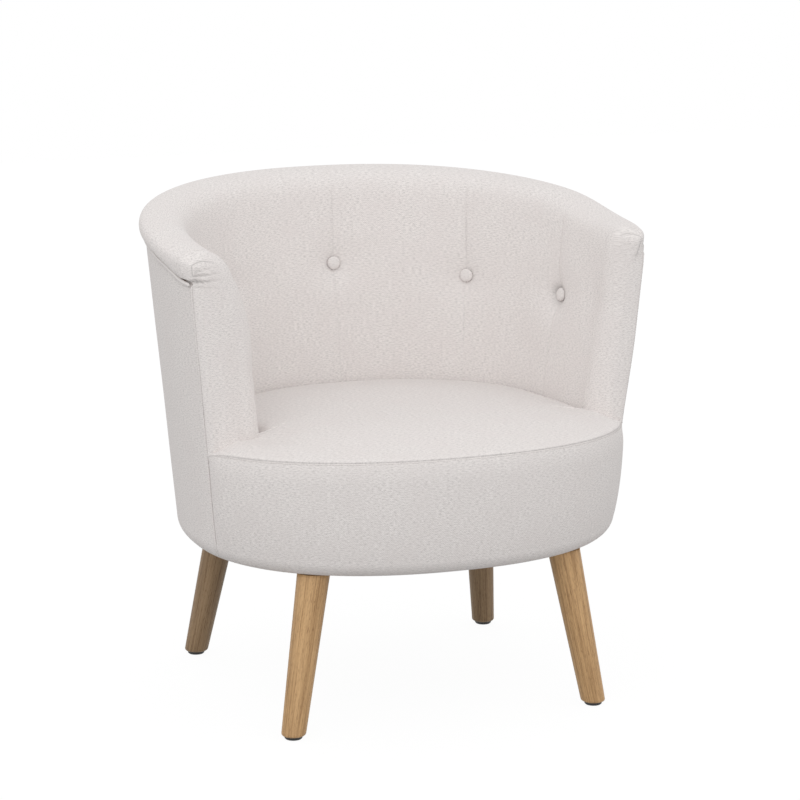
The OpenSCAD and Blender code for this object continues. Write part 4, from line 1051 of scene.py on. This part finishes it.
# Rows of stitches and staples: pieces at an even spacing along a line, turned to run along it
ROW = bpy.data.node_groups.new("row_of_pieces", "GeometryNodeTree")
g = Tree(ROW, "GeometryNode")
for name, kind in (("Line", "Geometry"), ("Piece", "Object"), ("Spacing", "Float"), ("Material", "Material")):
    ROW.interface.new_socket(name, in_out="INPUT", socket_type="NodeSocket" + kind)
ROW.interface.new_socket("Row", in_out="OUTPUT", socket_type="NodeSocketGeometry")
start = g.add("NodeGroupInput")
line = g.add("MeshToCurve", {"Mesh": (start, "Line")})
even = g.add("ResampleCurve", {"Curve": (line, "Curve"), "Length": (start, "Spacing")}, mode="LENGTH")
piece = g.add("ObjectInfo", {"Object": (start, "Piece")})
turn = g.add("FunctionNodeAlignEulerToVector", {"Vector": (g.add("InputTangent"), "Tangent")}, axis="X")
placed = g.add("InstanceOnPoints", {
    "Points": (even, "Curve"), "Instance": (piece, "Geometry"), "Rotation": (turn, "Rotation")})
real = g.add("RealizeInstances", {"Geometry": (placed, "Instances")})
painted = g.add("SetMaterial", {"Geometry": (real, "Geometry"), "Material": (start, "Material")})
g.add("NodeGroupOutput", {"Row": (painted, "Geometry")})


def row_of(name, paths, piece, spacing, mat):
    """Pieces along each path, as one plain mesh."""
    starts = np.cumsum([0] + [len(p) for p in paths])
    me = bpy.data.meshes.new(name + "_line")
    me.from_pydata(join(*paths).tolist(),
            [(i, i + 1) for first, end in zip(starts, starts[1:]) for i in range(first, end - 1)], [])
    line = put(name + "_line", me)
    m = line.modifiers.new("row", "NODES")
    m.node_group = ROW
    ids = {s.name: s.identifier for s in ROW.interface.items_tree if s.in_out == "INPUT"}
    m[ids["Piece"]], m[ids["Spacing"]], m[ids["Material"]] = piece, spacing, mat
    o = plain(line, name)
    o.data.shade_smooth()
    bpy.data.objects.remove(piece)
    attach(o, "root")


def capsule(name, long, radius, n=6):
    x, r = np.array([(-0.5, 0.25), (-0.38, 0.85), (0, 1.0), (0.38, 0.85), (0.5, 0.25)]).T[..., None]
    t = circle(n)
    points = np.stack(np.broadcast_arrays(x * long, r * radius * np.cos(t), r * radius * np.sin(t)), -1)
    return outward(mesh_object(name, points, ring_faces(len(x), n)))


edge = dust_cover()
paths = []
for s in (-1, 1):
    z = np.linspace(BASE + EDGE * 0.4, rim(s * ARM_END, 0, -lip_z(ARM_END) - 0.014)[2], 120)
    a = np.full(120, s * (SEAM_END - 0.75))
    low = np.clip((BASE + EDGE - z) / EDGE, 0, 1)
    paths.append(wall(a, z, EDGE * (1 - np.sqrt(1 - low ** 2)) - flank(a, z)))
a = np.linspace(SEAM_END + 1.2, 360 - SEAM_END - 1.2, 260)
z = seam_at(a) - LAP - 0.0022
share = np.clip((z - BASE - EDGE) / BAND_H, 0, 1)
puff = PUFF * np.sin(np.pi * share ** 0.8) * ease(np.minimum(a - SEAM_END, 360 - SEAM_END - a) / 9.0 + 0.25)
paths.append(wall(a, z, 0.0006 - puff + shoulder(a) * (1 - 0.0046 / SHOULDER_H) ** 2))
row_of("seam_stitches", paths, capsule("stitch_form", 0.0030, 0.00028), 0.0040, thread_mat)
path = join(edge, edge[:1]) * [0.985, 0.985, 1] + [0, MID_Y * 0.015, -0.0001]
row_of("dust_staples", [path], capsule("staple_form", 0.0110, 0.00055), 0.038, MATERIALS["steel"])

# Floor, light and camera
SOFT, FLOOR_GLOW, FLOOR_SEEN = 0.87, 1.082, 0.88     # what isn't seen as glow keeps a faint shadow of the chair
floor = mesh_object("floor", [(-6, -6, 0), (6, -6, 0), (6, 6, 0), (-6, 6, 0)], [(0, 1, 2, 3)], flat=1)
g = Skin("floor")
rays = g.add("LightPath")
seen = g.math("MAXIMUM", (rays, "Is Glossy Ray"), (rays, "Is Transmission Ray"))
share = g.math("MULTIPLY", g.math("MAXIMUM", (rays, "Is Camera Ray"), seen), FLOOR_SEEN)
glow = g.add("Emission", {"Color": (1, 1, 1, 1), "Strength": FLOOR_GLOW})
g.fill(g.out, {"Surface": (g.add("MixShader", {0: share, 1: (g.skin, "BSDF"), 2: (glow, "Emission")}), "Shader")})
floor.data.materials.append(g.finish(Base_Color=(0.5, 0.5, 0.5, 1), Roughness=0.9))

scene.world = bpy.data.worlds.new("studio")
scene.world.use_nodes = True
w = Tree(scene.world.node_tree)
rays = w.add("LightPath")
soft, white = ((w.add("Background", {"Color": (1, 1, 1, 1), "Strength": s}), 0) for s in (SOFT, 1.0))
seen = w.math("MAXIMUM", (rays, "Is Camera Ray"), (rays, "Is Glossy Ray"))
w.add("OutputWorld", {"Surface": (w.add("MixShader", {0: seen, 1: soft, 2: white}), 0)})


def aimed(o, place, aim):
    o.location = place
    o.rotation_euler = (Vector(aim) - Vector(place)).to_track_quat("-Z", "Y").to_euler()
    return o


LAMPS = [("key", (-2.2, -2.6, 3.1), 0.45, 3.0, 27), ("front", (-0.9, -4.2, 1.9), 0.45, 2.4, 14),
         ("fill", (3.0, -2.6, 1.8), 0.4, 2.4, 6)]
for name, place, high, size, power in LAMPS:
    lamp = bpy.data.lights.new(name, "AREA")
    lamp.size, lamp.energy = size, power
    aimed(put(name, lamp), place, (0, 0, high))
camera = bpy.data.cameras.new("camera")
camera.lens = 135
scene.camera = aimed(put("camera", camera), (-1.4775, -4.0131, 1.3154), (0.0040, -0.0377, 0.4239))
scene.view_settings.view_transform = "Standard"
